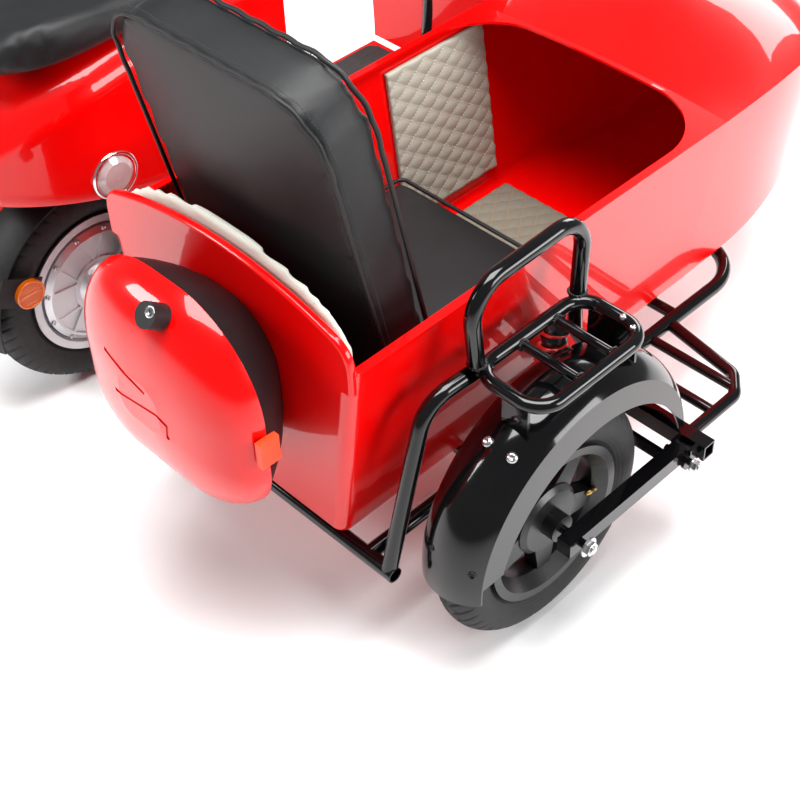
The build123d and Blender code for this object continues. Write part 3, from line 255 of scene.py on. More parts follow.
# %% [markdown]
# ## Finishes of the rigid pieces
# Each material slot of the record gets one finish: a Principled shader whose colour and roughness vary with dust,
# and a Bump for its grain. Coat, sheen and the like are set on the shader's own sockets.

# %% Finish maker
# a Mix node has one pair of sockets for each kind of value: these are the colour's
MIX_COLOUR_A = 6
MIX_COLOUR_OUT = 2
RELIEF_DISTANCE = 0.001


def placed_group(tree, group_tree, coordinates, **values):
    node = tree.nodes.new("ShaderNodeGroup")
    node.node_tree = group_tree
    tree.links.new(coordinates, node.inputs["Vector"])
    for label, value in values.items():
        node.inputs[label.replace("_", " ")].default_value = value
    return node


def finish(name, colour, roughness, dust=0.15, dust_colour=(0.5, 0.48, 0.45), grain=None, bump=0.1, ripple=None,
           **sockets):
    """A finish. grain is the pebble's scale, ripple the scale of a soft waviness, sockets are the shader's own."""
    material = bpy.data.materials.new(name)
    material.use_nodes = True
    tree = material.node_tree
    shader = tree.nodes["Principled BSDF"]
    for label, value in sockets.items():
        shader.inputs[label.replace("_", " ")].default_value = value
    spot = add_node(tree, "TexCoord").outputs["Object"]
    dusty = placed_group(tree, DUST, spot, Amount=dust)
    tint = add_node(tree, "Mix", {0: dusty.outputs["Mask"], MIX_COLOUR_A: (*colour, 1),
                                  MIX_COLOUR_A + 1: (*dust_colour, 1)}, data_type="RGBA")
    tree.links.new(tint.outputs[MIX_COLOUR_OUT], shader.inputs["Base Color"])
    rough = arithmetic(tree, "ADD", dusty.outputs["Mask"], roughness, clamp=True)
    tree.links.new(rough, shader.inputs["Roughness"])
    height = None
    if grain:
        height = placed_group(tree, PEBBLE, spot, Scale=grain).outputs["Height"]
    if ripple:
        height = add_node(tree, "TexNoise", {"Vector": spot, "Scale": ripple, "Detail": 1.0}).outputs["Fac"]
    if height is not None:
        relief = add_node(tree, "Bump", {"Height": height, "Strength": bump, "Distance": RELIEF_DISTANCE})
        tree.links.new(relief.outputs[0], shader.inputs["Normal"])
    return material


RED = (0.78, 0.0, 0.0)
FINISHES = {
    "tyre": finish("tyre", (0.014, 0.014, 0.015), 0.6, dust=0.08, grain=900, bump=0.25, Specular_IOR_Level=0.25),
    "satin_black": finish("satin_black", (0.006, 0.006, 0.007), 0.32, dust=0.05, ripple=400, bump=0.15),
    "steel": finish("steel", (0.55, 0.55, 0.56), 0.28, dust=0.05, ripple=500, bump=0.1, Metallic=1.0),
    "cast_alloy": finish("cast_alloy", (0.62, 0.62, 0.64), 0.34, dust=0.12, grain=1400, bump=0.3, Metallic=1.0),
    "frame_black": finish("frame_black", (0.002, 0.002, 0.0025), 0.12, dust=0.01, ripple=120, bump=0.03,
                          Specular_IOR_Level=0.2, Coat_Weight=0.45, Coat_Roughness=0.05),
    "battery_grey": finish("battery_grey", (0.06, 0.06, 0.065), 0.5, grain=700),
    "red_paint": finish("red_paint", RED, 0.3, dust=0.01, ripple=30, bump=0.05, Specular_IOR_Level=0.1,
                        Coat_Weight=0.7, Coat_Roughness=0.02),
    "red_gloss": finish("red_gloss", RED, 0.3, dust=0.01, ripple=30, bump=0.05, Specular_IOR_Level=0.1,
                        Coat_Weight=0.7, Coat_Roughness=0.02),
    "rubber_mat": finish("rubber_mat", (0.018, 0.018, 0.018), 0.7, grain=500, bump=0.4),
    "black_plastic": finish("black_plastic", (0.008, 0.008, 0.009), 0.42, dust=0.04, grain=1500, bump=0.25,
                            Specular_IOR_Level=0.25),
    "black_vinyl": finish("black_vinyl", (0.008, 0.0085, 0.0095), 0.42, dust=0.03, grain=1300, bump=0.3,
                          Specular_IOR_Level=0.3),
    "red_lens": finish("red_lens", (0.6, 0.004, 0.002), 0.05, dust=0.0, Transmission_Weight=0.55, Coat_Weight=1.0),
    "clear_lens": finish("clear_lens", (0.9, 0.9, 0.9), 0.03, dust=0.0, Transmission_Weight=0.6, Coat_Weight=1.0),
    "amber_lens": finish("amber_lens", (0.85, 0.16, 0.0), 0.08, dust=0.0, Transmission_Weight=0.3, Coat_Weight=1.0),
    "shock_black": finish("shock_black", (0.008, 0.008, 0.009), 0.25, dust=0.05, ripple=300),
    "silver_paint": finish("silver_paint", (0.5, 0.5, 0.52), 0.3, dust=0.05, ripple=300, Metallic=0.8,
                           Coat_Weight=0.5),
    "beige_quilt": finish("beige_quilt", (0.36, 0.34, 0.28), 0.55, dust=0.1, grain=900, bump=0.3),
    "plywood": finish("plywood", (0.05, 0.045, 0.04), 0.6),
    "white_pad": finish("white_pad", (0.7, 0.68, 0.6), 0.7, grain=500, bump=0.5),
    "orange_plastic": finish("orange_plastic", (0.95, 0.06, 0.01), 0.35, dust=0.02, grain=900, bump=0.08),
}
for node, slot in SLOT_OF.items():
    obj = frame["nodes"][node]
    obj.data.materials.clear()
    obj.data.materials.append(FINISHES[slot])
print(len(FINISHES), "finishes on", len(SLOT_OF), "nodes")

# %% [markdown]
# ## Mesh helpers
# Small fittings, tyres, springs and piping come from three tools: a lathe, a tube swept along points, and a merge
# that puts many shapes in one piece. A ray from the camera finds where a detail seen in the picture sits on its
# carrier.

# %% Mesh helpers
TURN = 2 * math.pi


def at(x, y, z):
    """A place in metres, from millimetres measured from the floor under the scooter's rear axle."""
    return Vector((REAR_AXLE.x + x / 1000, REAR_AXLE.y + y / 1000, z / 1000))


def grid_faces(rows, columns, wrap_rows=False, wrap_columns=True):
    faces = []
    for i in range(rows if wrap_rows else rows - 1):
        for j in range(columns if wrap_columns else columns - 1):
            below, beside = (i + 1) % rows, (j + 1) % columns
            faces.append((i * columns + j, i * columns + beside, below * columns + beside, below * columns + j))
    return faces


def lathe(profile, centre, axis, segments=32, ring=False):
    """(radius, height) pairs turned about the axis. A ring's profile closes on itself, any other starts and ends
    on the axis."""
    turn = Vector(axis).to_track_quat("Z", "Y").to_matrix()
    points = []
    for radius, height in profile:
        for k in range(segments):
            angle = TURN * k / segments
            spot = Vector((radius * math.cos(angle), radius * math.sin(angle), height))
            points.append(Vector(centre) + turn @ spot)
    return points, grid_faces(len(profile), segments, wrap_rows=ring)


def swept(path, radius, sides=10, closed=False):
    """A round tube along a list of points, its ends closed."""
    path = [Vector(point) for point in path]
    count = len(path)
    side = None
    points = []
    for i, point in enumerate(path):
        before = path[i - 1] if i or closed else point
        after = path[(i + 1) % count] if i + 1 < count or closed else point
        along = (after - before).normalized()
        if side is None:
            side = along.orthogonal()
        side = (side - along * side.dot(along)).normalized()
        other = along.cross(side)
        for k in range(sides):
            angle = TURN * k / sides
            points.append(point + radius * (side * math.cos(angle) + other * math.sin(angle)))
    faces = grid_faces(count, sides, wrap_rows=closed)
    if not closed:
        faces += [tuple(range(sides)), tuple(range((count - 1) * sides, count * sides))]
    return points, faces


def merged(shapes):
    points, faces = [], []
    for shape_points, shape_faces in shapes:
        faces += [tuple(len(points) + k for k in face) for face in shape_faces]
        points += shape_points
    return points, faces


def outward(obj):
    """Joins doubled points and turns every face outwards."""
    work = bmesh.new()
    work.from_mesh(obj.data)
    bmesh.ops.remove_doubles(work, verts=work.verts, dist=1e-6)
    bmesh.ops.dissolve_degenerate(work, edges=work.edges, dist=1e-7)
    bmesh.ops.recalc_face_normals(work, faces=work.faces)
    work.to_mesh(obj.data)
    work.free()


def dressed(obj, body, slot, material=None):
    obj.data.materials.clear()
    obj.data.materials.append(material or FINISHES[slot])
    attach(obj, body)
    return obj


def piece(name, body, slot, shapes, material=None, smooth=True):
    obj = mesh_object(name, *merged(shapes), smooth)
    outward(obj)
    return dressed(obj, body, slot, material)


def bake(obj):
    """Makes the modifiers' result the object's own plain mesh."""
    graph = bpy.context.evaluated_depsgraph_get()
    mesh = bpy.data.meshes.new_from_object(obj.evaluated_get(graph), depsgraph=graph)
    obj.modifiers.clear()
    obj.data = mesh
    return obj


TREES = {}


def cast(start, direction, nodes):
    """Where a ray first meets one of these CAD nodes: the point and the surface's normal."""
    best = None
    for node in nodes:
        if node not in TREES:
            mesh = frame["nodes"][node].data
            TREES[node] = BVHTree.FromPolygons([v.co for v in mesh.vertices], [p.vertices for p in mesh.polygons])
        point, normal, _, distance = TREES[node].ray_cast(Vector(start), Vector(direction).normalized())
        if point is not None and (best is None or distance < best[2]):
            facing = normal if normal.dot(Vector(direction)) < 0 else -normal
            best = (point, facing, distance)
    if best is None:
        raise ValueError("the ray misses " + ", ".join(nodes))
    return best[0], best[1]


PIXELS = 800


def sight(x, y):
    """The ray from the camera through a pixel of the photograph."""
    camera = bpy.context.scene.camera
    spot = Vector(((x / PIXELS - 0.5) * SENSOR_MM, (0.5 - y / PIXELS + FRAME_SHIFT) * SENSOR_MM, -LENS_MM))
    return camera.matrix_world.translation.copy(), camera.matrix_world.to_3x3() @ spot


def seen(x, y, *nodes):
    return cast(*sight(x, y), nodes)


SUNK = -0.001


def screw(point, normal, radius, height):
    """A button head with a socket, sunk 1 mm into what it holds."""
    top = height + radius * 0.2
    profile = [(0, SUNK), (radius, SUNK), (radius, height * 0.6), (radius * 0.86, height), (radius * 0.55, top),
               (radius * 0.46, top), (radius * 0.42, top - radius * 0.35), (0, top - radius * 0.35)]
    return lathe(profile, point, normal, 20)


def hexagon(point, normal, radius, height, washer=1.35):
    """A hexagon nut on its washer, with the bolt's rounded end through it."""
    wide = radius * washer
    plate = lathe([(0, SUNK), (wide, SUNK), (wide, 0.0015), (0, 0.0015)], point, normal, 24)
    nut = lathe([(0, 0.001), (radius * 0.96, 0.001), (radius, 0.0022), (radius, height - 0.001),
                 (radius * 0.93, height), (0, height)], point, normal, 6)
    end = lathe([(0, height - 0.001), (radius * 0.55, height - 0.001), (radius * 0.55, height + 0.0025),
                 (radius * 0.42, height + 0.0035), (0, height + 0.0035)], point, normal, 16)
    return merged([plate, nut, end])


BEAD_SIDES = 6


def bead(centre, axis, radius, size=0.0028, ripples=18):
    """The rippled bead of a weld round a tube."""
    turn = Vector(axis).to_track_quat("Z", "Y").to_matrix()
    around, points = ripples * 4, []
    for i in range(around):
        angle = TURN * i / around
        thick = size * (1 + 0.28 * math.sin(ripples * angle))
        for k in range(BEAD_SIDES):
            roll = TURN * k / BEAD_SIDES
            spoke = radius + thick * math.cos(roll)
            points.append(Vector(centre) + turn @ Vector((spoke * math.cos(angle), spoke * math.sin(angle),
                                                          thick * math.sin(roll))))
    return points, grid_faces(around, BEAD_SIDES, wrap_rows=True)


COIL_STEPS = 20


def coil(low, high, radius, wire, turns):
    """A spring's wire between two points, its end turns pressed flat."""
    low, high = Vector(low), Vector(high)
    turn = (high - low).to_track_quat("Z", "Y").to_matrix()
    steps, path = turns * COIL_STEPS, []
    for i in range(steps + 1):
        share = i / steps
        rise = (high - low) * min(max((share * turns - 0.5) / (turns - 1), 0), 1)
        angle = TURN * turns * share
        path.append(low + rise + turn @ Vector((radius * math.cos(angle), radius * math.sin(angle), 0)))
    return swept(path, wire, 8)


def arc_through(first, middle, last, count):
    """Points of the arc through three points of a plane, without the last."""
    (ax, ay), (bx, by), (cx, cy) = first, middle, last
    d = 2 * (ax * (by - cy) + bx * (cy - ay) + cx * (ay - by))
    ux = ((ax**2 + ay**2) * (by - cy) + (bx**2 + by**2) * (cy - ay) + (cx**2 + cy**2) * (ay - by)) / d
    uy = ((ax**2 + ay**2) * (cx - bx) + (bx**2 + by**2) * (ax - cx) + (cx**2 + cy**2) * (bx - ax)) / d
    radius = math.hypot(ax - ux, ay - uy)
    start = math.atan2(ay - uy, ax - ux)
    full = math.remainder(math.atan2(cy - uy, cx - ux) - start, TURN)
    return [(ux + radius * math.cos(start + full * i / count), uy + radius * math.sin(start + full * i / count))
            for i in range(count)]


print("mesh helpers ready")

# %% [markdown]
# ## Tyres
# Small tubeless tyres have a round crown with slanted cuts that open at the shoulders, and thin ribs by the rim. The
# cuts are real relief: each point of a dense lathe goes in where the pattern says so.

# %% Three tyres with their tread
TYRE_SEAT = (128.3, 28.7)
TYRE_BEAD = (139.5, 28.7)
TYRE_BELLY = (163.5, 41.0)
TYRE_SHOULDER = (190.5, 33.6)
TYRE_CROWN = (205.4, 0.0)
TREAD_PITCH = 26.0
TREAD_DEPTH = 3.2
TYRE_SEGMENTS = 480
CUT_HALF = 2.6
CUT_FROM = 9
SIPE_HALF = 1.5
SIPE_REACH = (5, 17)
TREAD_FROM = 180
RIBS = (141, 158)
RIB_PITCH = 5.6
RIB_HEIGHT = 0.7


def tread_depth(along, across):
    """How far the tread is cut at a place, in millimetres along and across the crown."""
    reach = abs(across)
    slant = (along + 0.75 * reach) % TREAD_PITCH
    cut = max(0.0, 1 - abs(slant - TREAD_PITCH / 2) / CUT_HALF) if reach > CUT_FROM else 0.0
    middle = abs(across - 2.2 * math.sin(TURN * along / (2 * TREAD_PITCH)))
    groove = max(0.0, 1 - middle / CUT_HALF)
    sipe = max(0.0, 1 - abs((along - reach) % TREAD_PITCH - 4) / SIPE_HALF)
    if not SIPE_REACH[0] < reach < SIPE_REACH[1]:
        sipe = 0.0
    return TREAD_DEPTH * min(1.0, 1.6 * max(cut, groove, 0.6 * sipe))


def tyre(centre):
    crown = arc_through(TYRE_SHOULDER, TYRE_CROWN, (TYRE_SHOULDER[0], -TYRE_SHOULDER[1]), 40)
    wall = arc_through(TYRE_BEAD, TYRE_BELLY, TYRE_SHOULDER, 26)
    other = [(radius, -across) for radius, across in reversed(wall + [TYRE_SHOULDER])][:-1]
    section = [TYRE_SEAT] + wall + crown + other + [(TYRE_BEAD[0], -TYRE_BEAD[1]), (TYRE_SEAT[0], -TYRE_SEAT[1])]
    points = []
    for radius, across in section:
        for k in range(TYRE_SEGMENTS):
            angle = TURN * k / TYRE_SEGMENTS
            deep = 0.0
            if radius > TREAD_FROM:
                deep = tread_depth(angle * TYRE_CROWN[0], across) * min(1.0, (radius - TREAD_FROM) / 8)
            elif RIBS[0] < radius < RIBS[1]:
                deep = -RIB_HEIGHT * max(0.0, math.sin(TURN * (radius - RIBS[0]) / RIB_PITCH))
            out, side = (radius - deep) / 1000, across / 1000
            if radius <= TREAD_FROM:
                out, side = radius / 1000, (across - math.copysign(deep, across)) / 1000
            points.append(centre + Vector((out * math.cos(angle), side, out * math.sin(angle))))
    return points, grid_faces(len(section), TYRE_SEGMENTS, wrap_rows=True)


for label, body, centre in (("side", "side_wheel", SIDE_AXLE), ("rear", "rear_wheel", REAR_AXLE),
                            ("front", "front_wheel", FRONT_AXLE)):
    tyre_piece = piece(label + "_tyre_tread", body, "tyre", [tyre(centre)])
    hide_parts(label + "_tyre")
print("tyres:", len(tyre_piece.data.polygons), "faces each")

# %% [markdown]
# ## Cushions
# A foam cushion's cover is sewn along its edges, and the foam pushes the panels out between the seams. A cloth
# simulation with inner pressure makes that swell. The seams and the underside are held, so the cushion keeps its
# outline and stays flat where it rests. The piping is laid along the held seams afterwards.

# %% Stuffed covers
SIM_FRAMES = 14
SHRINK = 0.004


def stuffed(name, node, body, slot, held, voxel=0.013, cap=0.012, pressure=4.0):
    """Blows up a copy of a CAD solid between its held places, and lets it stand for that solid."""
    obj = link(bpy.data.objects.new(name, frame["nodes"][node].data.copy()))
    low, high = (Vector(corner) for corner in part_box(node))
    middle = (low + high) / 2
    share = [1 - 2 * SHRINK / (high[i] - low[i]) for i in range(3)]
    for vertex in obj.data.vertices:
        vertex.co = [middle[i] + (vertex.co[i] - middle[i]) * share[i] for i in range(3)]
    remesh = obj.modifiers.new("remesh", "REMESH")
    remesh.mode = "VOXEL"
    remesh.voxel_size = voxel
    bake(obj)
    rest = [vertex.co.copy() for vertex in obj.data.vertices]
    group = obj.vertex_groups.new(name="held")
    group.add([i for i, place in enumerate(rest) if held(place)], 1.0, "REPLACE")
    cloth = obj.modifiers.new("cloth", "CLOTH")
    cloth.settings.quality = 3
    cloth.settings.use_pressure = True
    cloth.settings.uniform_pressure_force = pressure
    cloth.settings.vertex_group_mass = "held"
    cloth.settings.effector_weights.gravity = 0
    cloth.collision_settings.use_collision = False
    scene = bpy.context.scene
    scene.frame_start = 1
    scene.frame_end = SIM_FRAMES
    began = time.time()
    for number in range(1, SIM_FRAMES + 1):
        scene.frame_set(number)
    print(name, "simulated in", round(time.time() - began, 1), "s,", len(rest), "points")
    bake(obj)
    for vertex, start in zip(obj.data.vertices, rest):
        move = vertex.co - start
        if move.length > cap:
            vertex.co = start + move.normalized() * cap
    scene.frame_set(1)
    smooth = obj.modifiers.new("smooth", "SUBSURF")
    smooth.levels = smooth.render_levels = 2
    bake(obj)
    for face in obj.data.polygons:
        face.use_smooth = True
    dressed(obj, body, slot)
    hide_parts(node)
    print(name, len(obj.data.polygons), "faces")
    return obj


SEAM = 0.011
BACK_REST_Z = 0.378
BACK_FOOT = at(71, -586, 352)
BACK_LEAN = math.radians(-12)
BACK_HALF = (0.044, 0.215)
BACK_TOP = 0.622
BACK_CORNER = 0.09
lean_back = Matrix.Rotation(BACK_LEAN, 3, "Y")


def edge_distance(across, up):
    """How far a place on the backrest's face lies inside its outline, which is open at the foot."""
    wide, high = abs(across) - (BACK_HALF[1] - BACK_CORNER), up - (BACK_TOP - BACK_CORNER)
    if wide > 0 and high > 0:
        return BACK_CORNER - math.hypot(wide, high)
    return min(BACK_HALF[1] - abs(across), BACK_TOP - up)


def held_back(place):
    local = lean_back.transposed() @ (place - BACK_FOOT)
    near_face = abs(local.x) > BACK_HALF[0] - SHRINK - SEAM
    return place.z < BACK_REST_Z or (near_face and edge_distance(local.y, local.z) < SHRINK + SEAM)


bench_low, bench_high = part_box("bench_cushion")
saddle_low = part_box("saddle")[0]
pad_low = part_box("rear_pad")[0]


def held_bench(place):
    low, high = bench_low, bench_high
    inside = min(place.x - low[0], high[0] - place.x, place.y - low[1], high[1] - place.y)
    return place.z < low[2] + 0.012 or (place.z > high[2] - 0.018 and inside < 0.014)


def held_saddle(place):
    return place.z < saddle_low[2] + 0.016


def held_pad(place):
    return place.x < pad_low[0] + 0.006 or place.z < pad_low[2] + 0.008


stuffed("bench_seat_cover", "bench_cushion", "chassis", "black_vinyl", held_bench, cap=0.011)
stuffed("backrest_cover", "backrest", "chassis", "black_vinyl", held_back, voxel=0.015, cap=0.014)
stuffed("saddle_cover", "saddle", "saddle", "black_vinyl", held_saddle, cap=0.007)
stuffed("rear_pad_cover", "rear_pad", "chassis", "white_pad", held_pad, voxel=0.010, cap=0.007)

# %% [markdown]
# ### Piping
# A thin cord is sewn into each seam. On the backrest its cover gathers a little, so the cord waves.

# %% Piping along the seams
SEAM_FOOT = 0.03
SEAM_STEP = 0.01
GATHER = 0.0012
GATHER_FROM = 0.45


def back_place(depth, across, up):
    return BACK_FOOT + lean_back @ Vector((depth, across, up))


def back_seam(depth, inset=0.001):
    """The outline of one face of the backrest, up one side, over the top and down the other."""
    half, top = BACK_HALF[1] - inset, BACK_TOP - inset
    corner = BACK_CORNER - inset
    path = [(-half, SEAM_FOOT + SEAM_STEP * k) for k in range(50) if SEAM_FOOT + SEAM_STEP * k < top - corner]
    path += [(-half + corner - corner * math.cos(a), top - corner + corner * math.sin(a))
             for a in (math.pi / 2 * k / 14 for k in range(15))]
    path += [(-half + corner + SEAM_STEP * k, top) for k in range(1, int((2 * half - 2 * corner) / SEAM_STEP))]
    path += [(half - corner + corner * math.sin(a), top - corner + corner * math.cos(a))
             for a in (math.pi / 2 * k / 14 for k in range(15))]
    path += [(half, up) for _, up in reversed(path[:50]) if up < top - corner]
    wave = [GATHER * math.sin(1.3 * i) * min(1.0, max(0.0, (up - GATHER_FROM) / 0.1))
            for i, (_, up) in enumerate(path)]
    return [back_place(depth + wave[i], across, up) for i, (across, up) in enumerate(path)]


low, high = (Vector(corner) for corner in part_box("bench_cushion"))
bench_ring = []
BENCH_CORNER = 0.014
for sx, sy, start in ((1, 1, 0), (-1, 1, 1), (-1, -1, 2), (1, -1, 3)):
    x = (high.x if sx > 0 else low.x) - sx * BENCH_CORNER
    y = (high.y if sy > 0 else low.y) - sy * BENCH_CORNER
    for k in range(7):
        angle = TURN / 4 * (start + k / 6)
        bench_ring.append(Vector((x + BENCH_CORNER * math.cos(angle), y + BENCH_CORNER * math.sin(angle),
                                  high.z - 0.009)))
PIPE_R = 0.0038
piping = [swept(back_seam(side * (BACK_HALF[0] - 0.003)), PIPE_R) for side in (-1, 1)]
piping.append(swept(bench_ring, PIPE_R, closed=True))
piece("seat_piping", "chassis", "black_vinyl", piping)
print("piping laid")

# %% [markdown]
# ## Quilted liners
# Soft vinyl over thin foam, sewn in diamonds, lines the tub's walls and floor. The liners stay thin sheets with real
# diamonds: a fine remesh of each one is pushed out between the lines of stitching.

# %% Quilts with raised diamonds
DIAMOND = (0.024, 0.0165)
PUFF = 0.0026
LINER_VOXEL = 0.0028


def diamond(first, second):
    """0 on the stitching, 1 in the middle of a diamond."""
    a, b = first / DIAMOND[0] + second / DIAMOND[1], first / DIAMOND[0] - second / DIAMOND[1]
    return (abs(math.sin(math.pi * a / 2)) * abs(math.sin(math.pi * b / 2))) ** 0.55


def relief(name, node, slot, facing, height, voxel=LINER_VOXEL, soft=True, material=None):
    """A remeshed copy of a CAD solid whose faces that look the given way are raised by height(place)."""
    obj = link(bpy.data.objects.new(name, frame["nodes"][node].data.copy()))
    remesh = obj.modifiers.new("remesh", "REMESH")
    remesh.mode = "VOXEL"
    remesh.voxel_size = voxel
    bake(obj)
    outward(obj)
    normals = [vertex.normal.copy() for vertex in obj.data.vertices]
    for vertex, normal in zip(obj.data.vertices, normals):
        face_on = facing(vertex.co, normal)
        if face_on > 0:
            vertex.co += normal * height(vertex.co) * min(1.0, face_on * 1.6)
    for face in obj.data.polygons:
        face.use_smooth = True
    dressed(obj, "chassis", slot, material)
    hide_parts(node)
    return obj


SIDEWAYS = 0.4
TUB_MIDDLE = box_centre("tub").y
relief("wall_quilts", "side_liners", "beige_quilt",
       lambda place, normal: -normal.y * math.copysign(1, place.y - TUB_MIDDLE) - SIDEWAYS,
       lambda place: PUFF * diamond(place.x, place.z))
# The floor liner is the same beige quilt as the walls. Its colour here is a darker copy of it, painted shade for the
# floor that lies deep in the tub.
SHADED_QUILT = finish("shaded_beige_quilt", (0.16, 0.145, 0.11), 0.55, dust=0.1, grain=900, bump=0.3)
relief("floor_quilt", "floor_liner", "beige_quilt", lambda place, normal: normal.z - SIDEWAYS,
       lambda place: PUFF * diamond(place.x, place.y), material=SHADED_QUILT)
MAT_RIB = 0.016
MAT_RIB_HEIGHT = 0.0016
relief("foot_mat_ribs", "foot_mat", "rubber_mat", lambda place, normal: normal.z - SIDEWAYS,
       lambda place: MAT_RIB_HEIGHT * max(0.0, math.sin(TURN * place.y / MAT_RIB)), voxel=0.0022, soft=False)
print("liners quilted, mat ribbed")

# %% [markdown]
# ### Stitches
# A seam is a row of short dashes of thread. One Geometry Nodes group lays them along any line: it divides the line
# into even steps and sets a small spindle of thread on each.

# %% Stitch rows by Geometry Nodes


def build_stitches():
    group = bpy.data.node_groups.new("stitch_row", "GeometryNodeTree")
    group.interface.new_socket(name="Geometry", in_out="INPUT", socket_type="NodeSocketGeometry")
    for label, value in (("Spacing", 0.006), ("Thickness", 0.0006), ("Fill", 0.6)):
        socket = group.interface.new_socket(name=label, in_out="INPUT", socket_type="NodeSocketFloat")
        socket.default_value = value
    group.interface.new_socket(name="Material", in_out="INPUT", socket_type="NodeSocketMaterial")
    group.interface.new_socket(name="Geometry", in_out="OUTPUT", socket_type="NodeSocketGeometry")
    given, out = group.nodes.new("NodeGroupInput"), group.nodes.new("NodeGroupOutput")
    kinds = ("MeshToCurve", "CurveToPoints", "MeshUVSphere", "InstanceOnPoints", "RealizeInstances", "SetMaterial")
    curve, points, ball, place, real, paint = (group.nodes.new("GeometryNode" + kind) for kind in kinds)
    half, span, size = (group.nodes.new("ShaderNode" + kind) for kind in ("Math", "Math", "CombineXYZ"))
    points.mode = "LENGTH"
    ball.inputs["Segments"].default_value = 6
    ball.inputs["Rings"].default_value = 5
    half.operation = span.operation = "MULTIPLY"
    half.inputs[1].default_value = 0.5
    wire = group.links.new
    wire(given.outputs["Geometry"], curve.inputs["Mesh"])
    wire(curve.outputs["Curve"], points.inputs["Curve"])
    wire(given.outputs["Spacing"], points.inputs["Length"])
    wire(given.outputs["Spacing"], span.inputs[0])
    wire(given.outputs["Fill"], span.inputs[1])
    wire(span.outputs[0], half.inputs[0])
    for axis in "XY":
        wire(given.outputs["Thickness"], size.inputs[axis])
    wire(half.outputs[0], size.inputs["Z"])
    wire(points.outputs["Points"], place.inputs["Points"])
    wire(ball.outputs["Mesh"], place.inputs["Instance"])
    wire(points.outputs["Rotation"], place.inputs["Rotation"])
    wire(size.outputs[0], place.inputs["Scale"])
    wire(place.outputs["Instances"], real.inputs["Geometry"])
    wire(real.outputs["Geometry"], paint.inputs["Geometry"])
    wire(given.outputs["Material"], paint.inputs["Material"])
    wire(paint.outputs["Geometry"], out.inputs["Geometry"])
    return group


STITCHES = build_stitches()


def stitched(name, lines, body, slot, material, spacing=0.006, thickness=0.0006, fill=0.62):
    """Rows of stitches along the lines, as one plain mesh."""
    points, edges = [], []
    for line in lines:
        edges += [(len(points) + k, len(points) + k + 1) for k in range(len(line) - 1)]
        points += [tuple(point) for point in line]
    mesh = bpy.data.meshes.new(name)
    mesh.from_pydata(points, edges, [])
    obj = link(bpy.data.objects.new(name, mesh))
    rows = obj.modifiers.new("stitches", "NODES")
    rows.node_group = STITCHES
    values = {"Spacing": spacing, "Thickness": thickness, "Fill": fill, "Material": material}
    for item in STITCHES.interface.items_tree:
        if item.in_out == "INPUT" and item.name in values:
            rows[item.identifier] = values[item.name]
    bake(obj)
    for face in obj.data.polygons:
        face.use_smooth = True
    return dressed(obj, body, slot, material)


def on_surface(obj, spots, toward, lift=0.0002):
    """Each spot dropped on a piece along a direction, a little proud of it."""
    tree = BVHTree.FromObject(obj, bpy.context.evaluated_depsgraph_get())
    found = []
    for spot in spots:
        point, normal, _, _ = tree.ray_cast(spot, toward)
        if point is not None:
            found.append(point - Vector(toward) * lift)
    return found


THREAD = finish("tan_thread", (0.42, 0.24, 0.10), 0.75, dust=0.05, ripple=2500, bump=0.4)
PALE_THREAD = finish("pale_thread", (0.62, 0.60, 0.52), 0.75, dust=0.05, ripple=2500, bump=0.4)
BLACK_THREAD = finish("black_thread", (0.02, 0.02, 0.02), 0.6, dust=0.05, ripple=2500, bump=0.4)


LINE_STEP = 0.004


def quilt_lines(low, high, way):
    """Where one family of the diamonds' lines crosses a rectangle, as rows of close spots (first, second)."""
    lines, across = [], DIAMOND[1] / DIAMOND[0]
    reach = abs(high[1]) / DIAMOND[1]
    first_value = math.floor((low[0] / DIAMOND[0] - reach) / 2) * 2 - 4
    last_value = math.ceil((high[0] / DIAMOND[0] + reach) / 2) * 2 + 4
    for value in range(first_value, last_value + 1, 2):
        line = []
        for k in range(int((high[0] - low[0]) / LINE_STEP) + 1):
            first = low[0] + LINE_STEP * k
            second = way * (value * DIAMOND[1] - first * across)
            if low[1] < second < high[1]:
                line.append((first, second))
        if len(line) > 2:
            lines.append(line)
    return lines


floor_low, floor_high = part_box("floor_liner")
edge = 0.006
floor_rows = []
floor_quilt = bpy.data.objects["floor_quilt"]
for way in (-1, 1):
    for line in quilt_lines((floor_low[0] + edge, floor_low[1] + edge),
                            (floor_high[0] - edge, floor_high[1] - edge), way):
        floor_rows.append(on_surface(floor_quilt, [Vector((a, b, 1.0)) for a, b in line], (0, 0, -1)))
stitched("floor_thread", [row for row in floor_rows if len(row) > 1], "chassis", "beige_quilt", THREAD)
wall_quilts = bpy.data.objects["wall_quilts"]
liner_low, liner_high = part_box("side_liners")
wall_rows = []
for side in (-1, 1):
    for way in (-1, 1):
        for line in quilt_lines((liner_low[0] + edge, liner_low[2] + edge),
                                (liner_high[0] - edge, liner_high[2] - edge), way):
            start = [Vector((a, TUB_MIDDLE, b)) for a, b in line]
            wall_rows.append(on_surface(wall_quilts, start, (0, side, 0)))
stitched("wall_thread", [row for row in wall_rows if len(row) > 1], "chassis", "beige_quilt", PALE_THREAD)
BOXING = BACK_HALF[0] - 0.012
THREAD_PROUD = 0.0055
stitched("backrest_thread", [back_seam(side * BOXING, -THREAD_PROUD) for side in (-1, 1)], "chassis", "black_vinyl",
         BLACK_THREAD, spacing=0.005, thickness=0.0007)
print("stitches sewn")

# %% [markdown]
# ## Fasteners, valve and lock
# Screws and nuts seen in the picture are placed by the camera's ray on the part that carries them. The others are
# placed from their carrier. Each kind of finish is one piece per moving body.

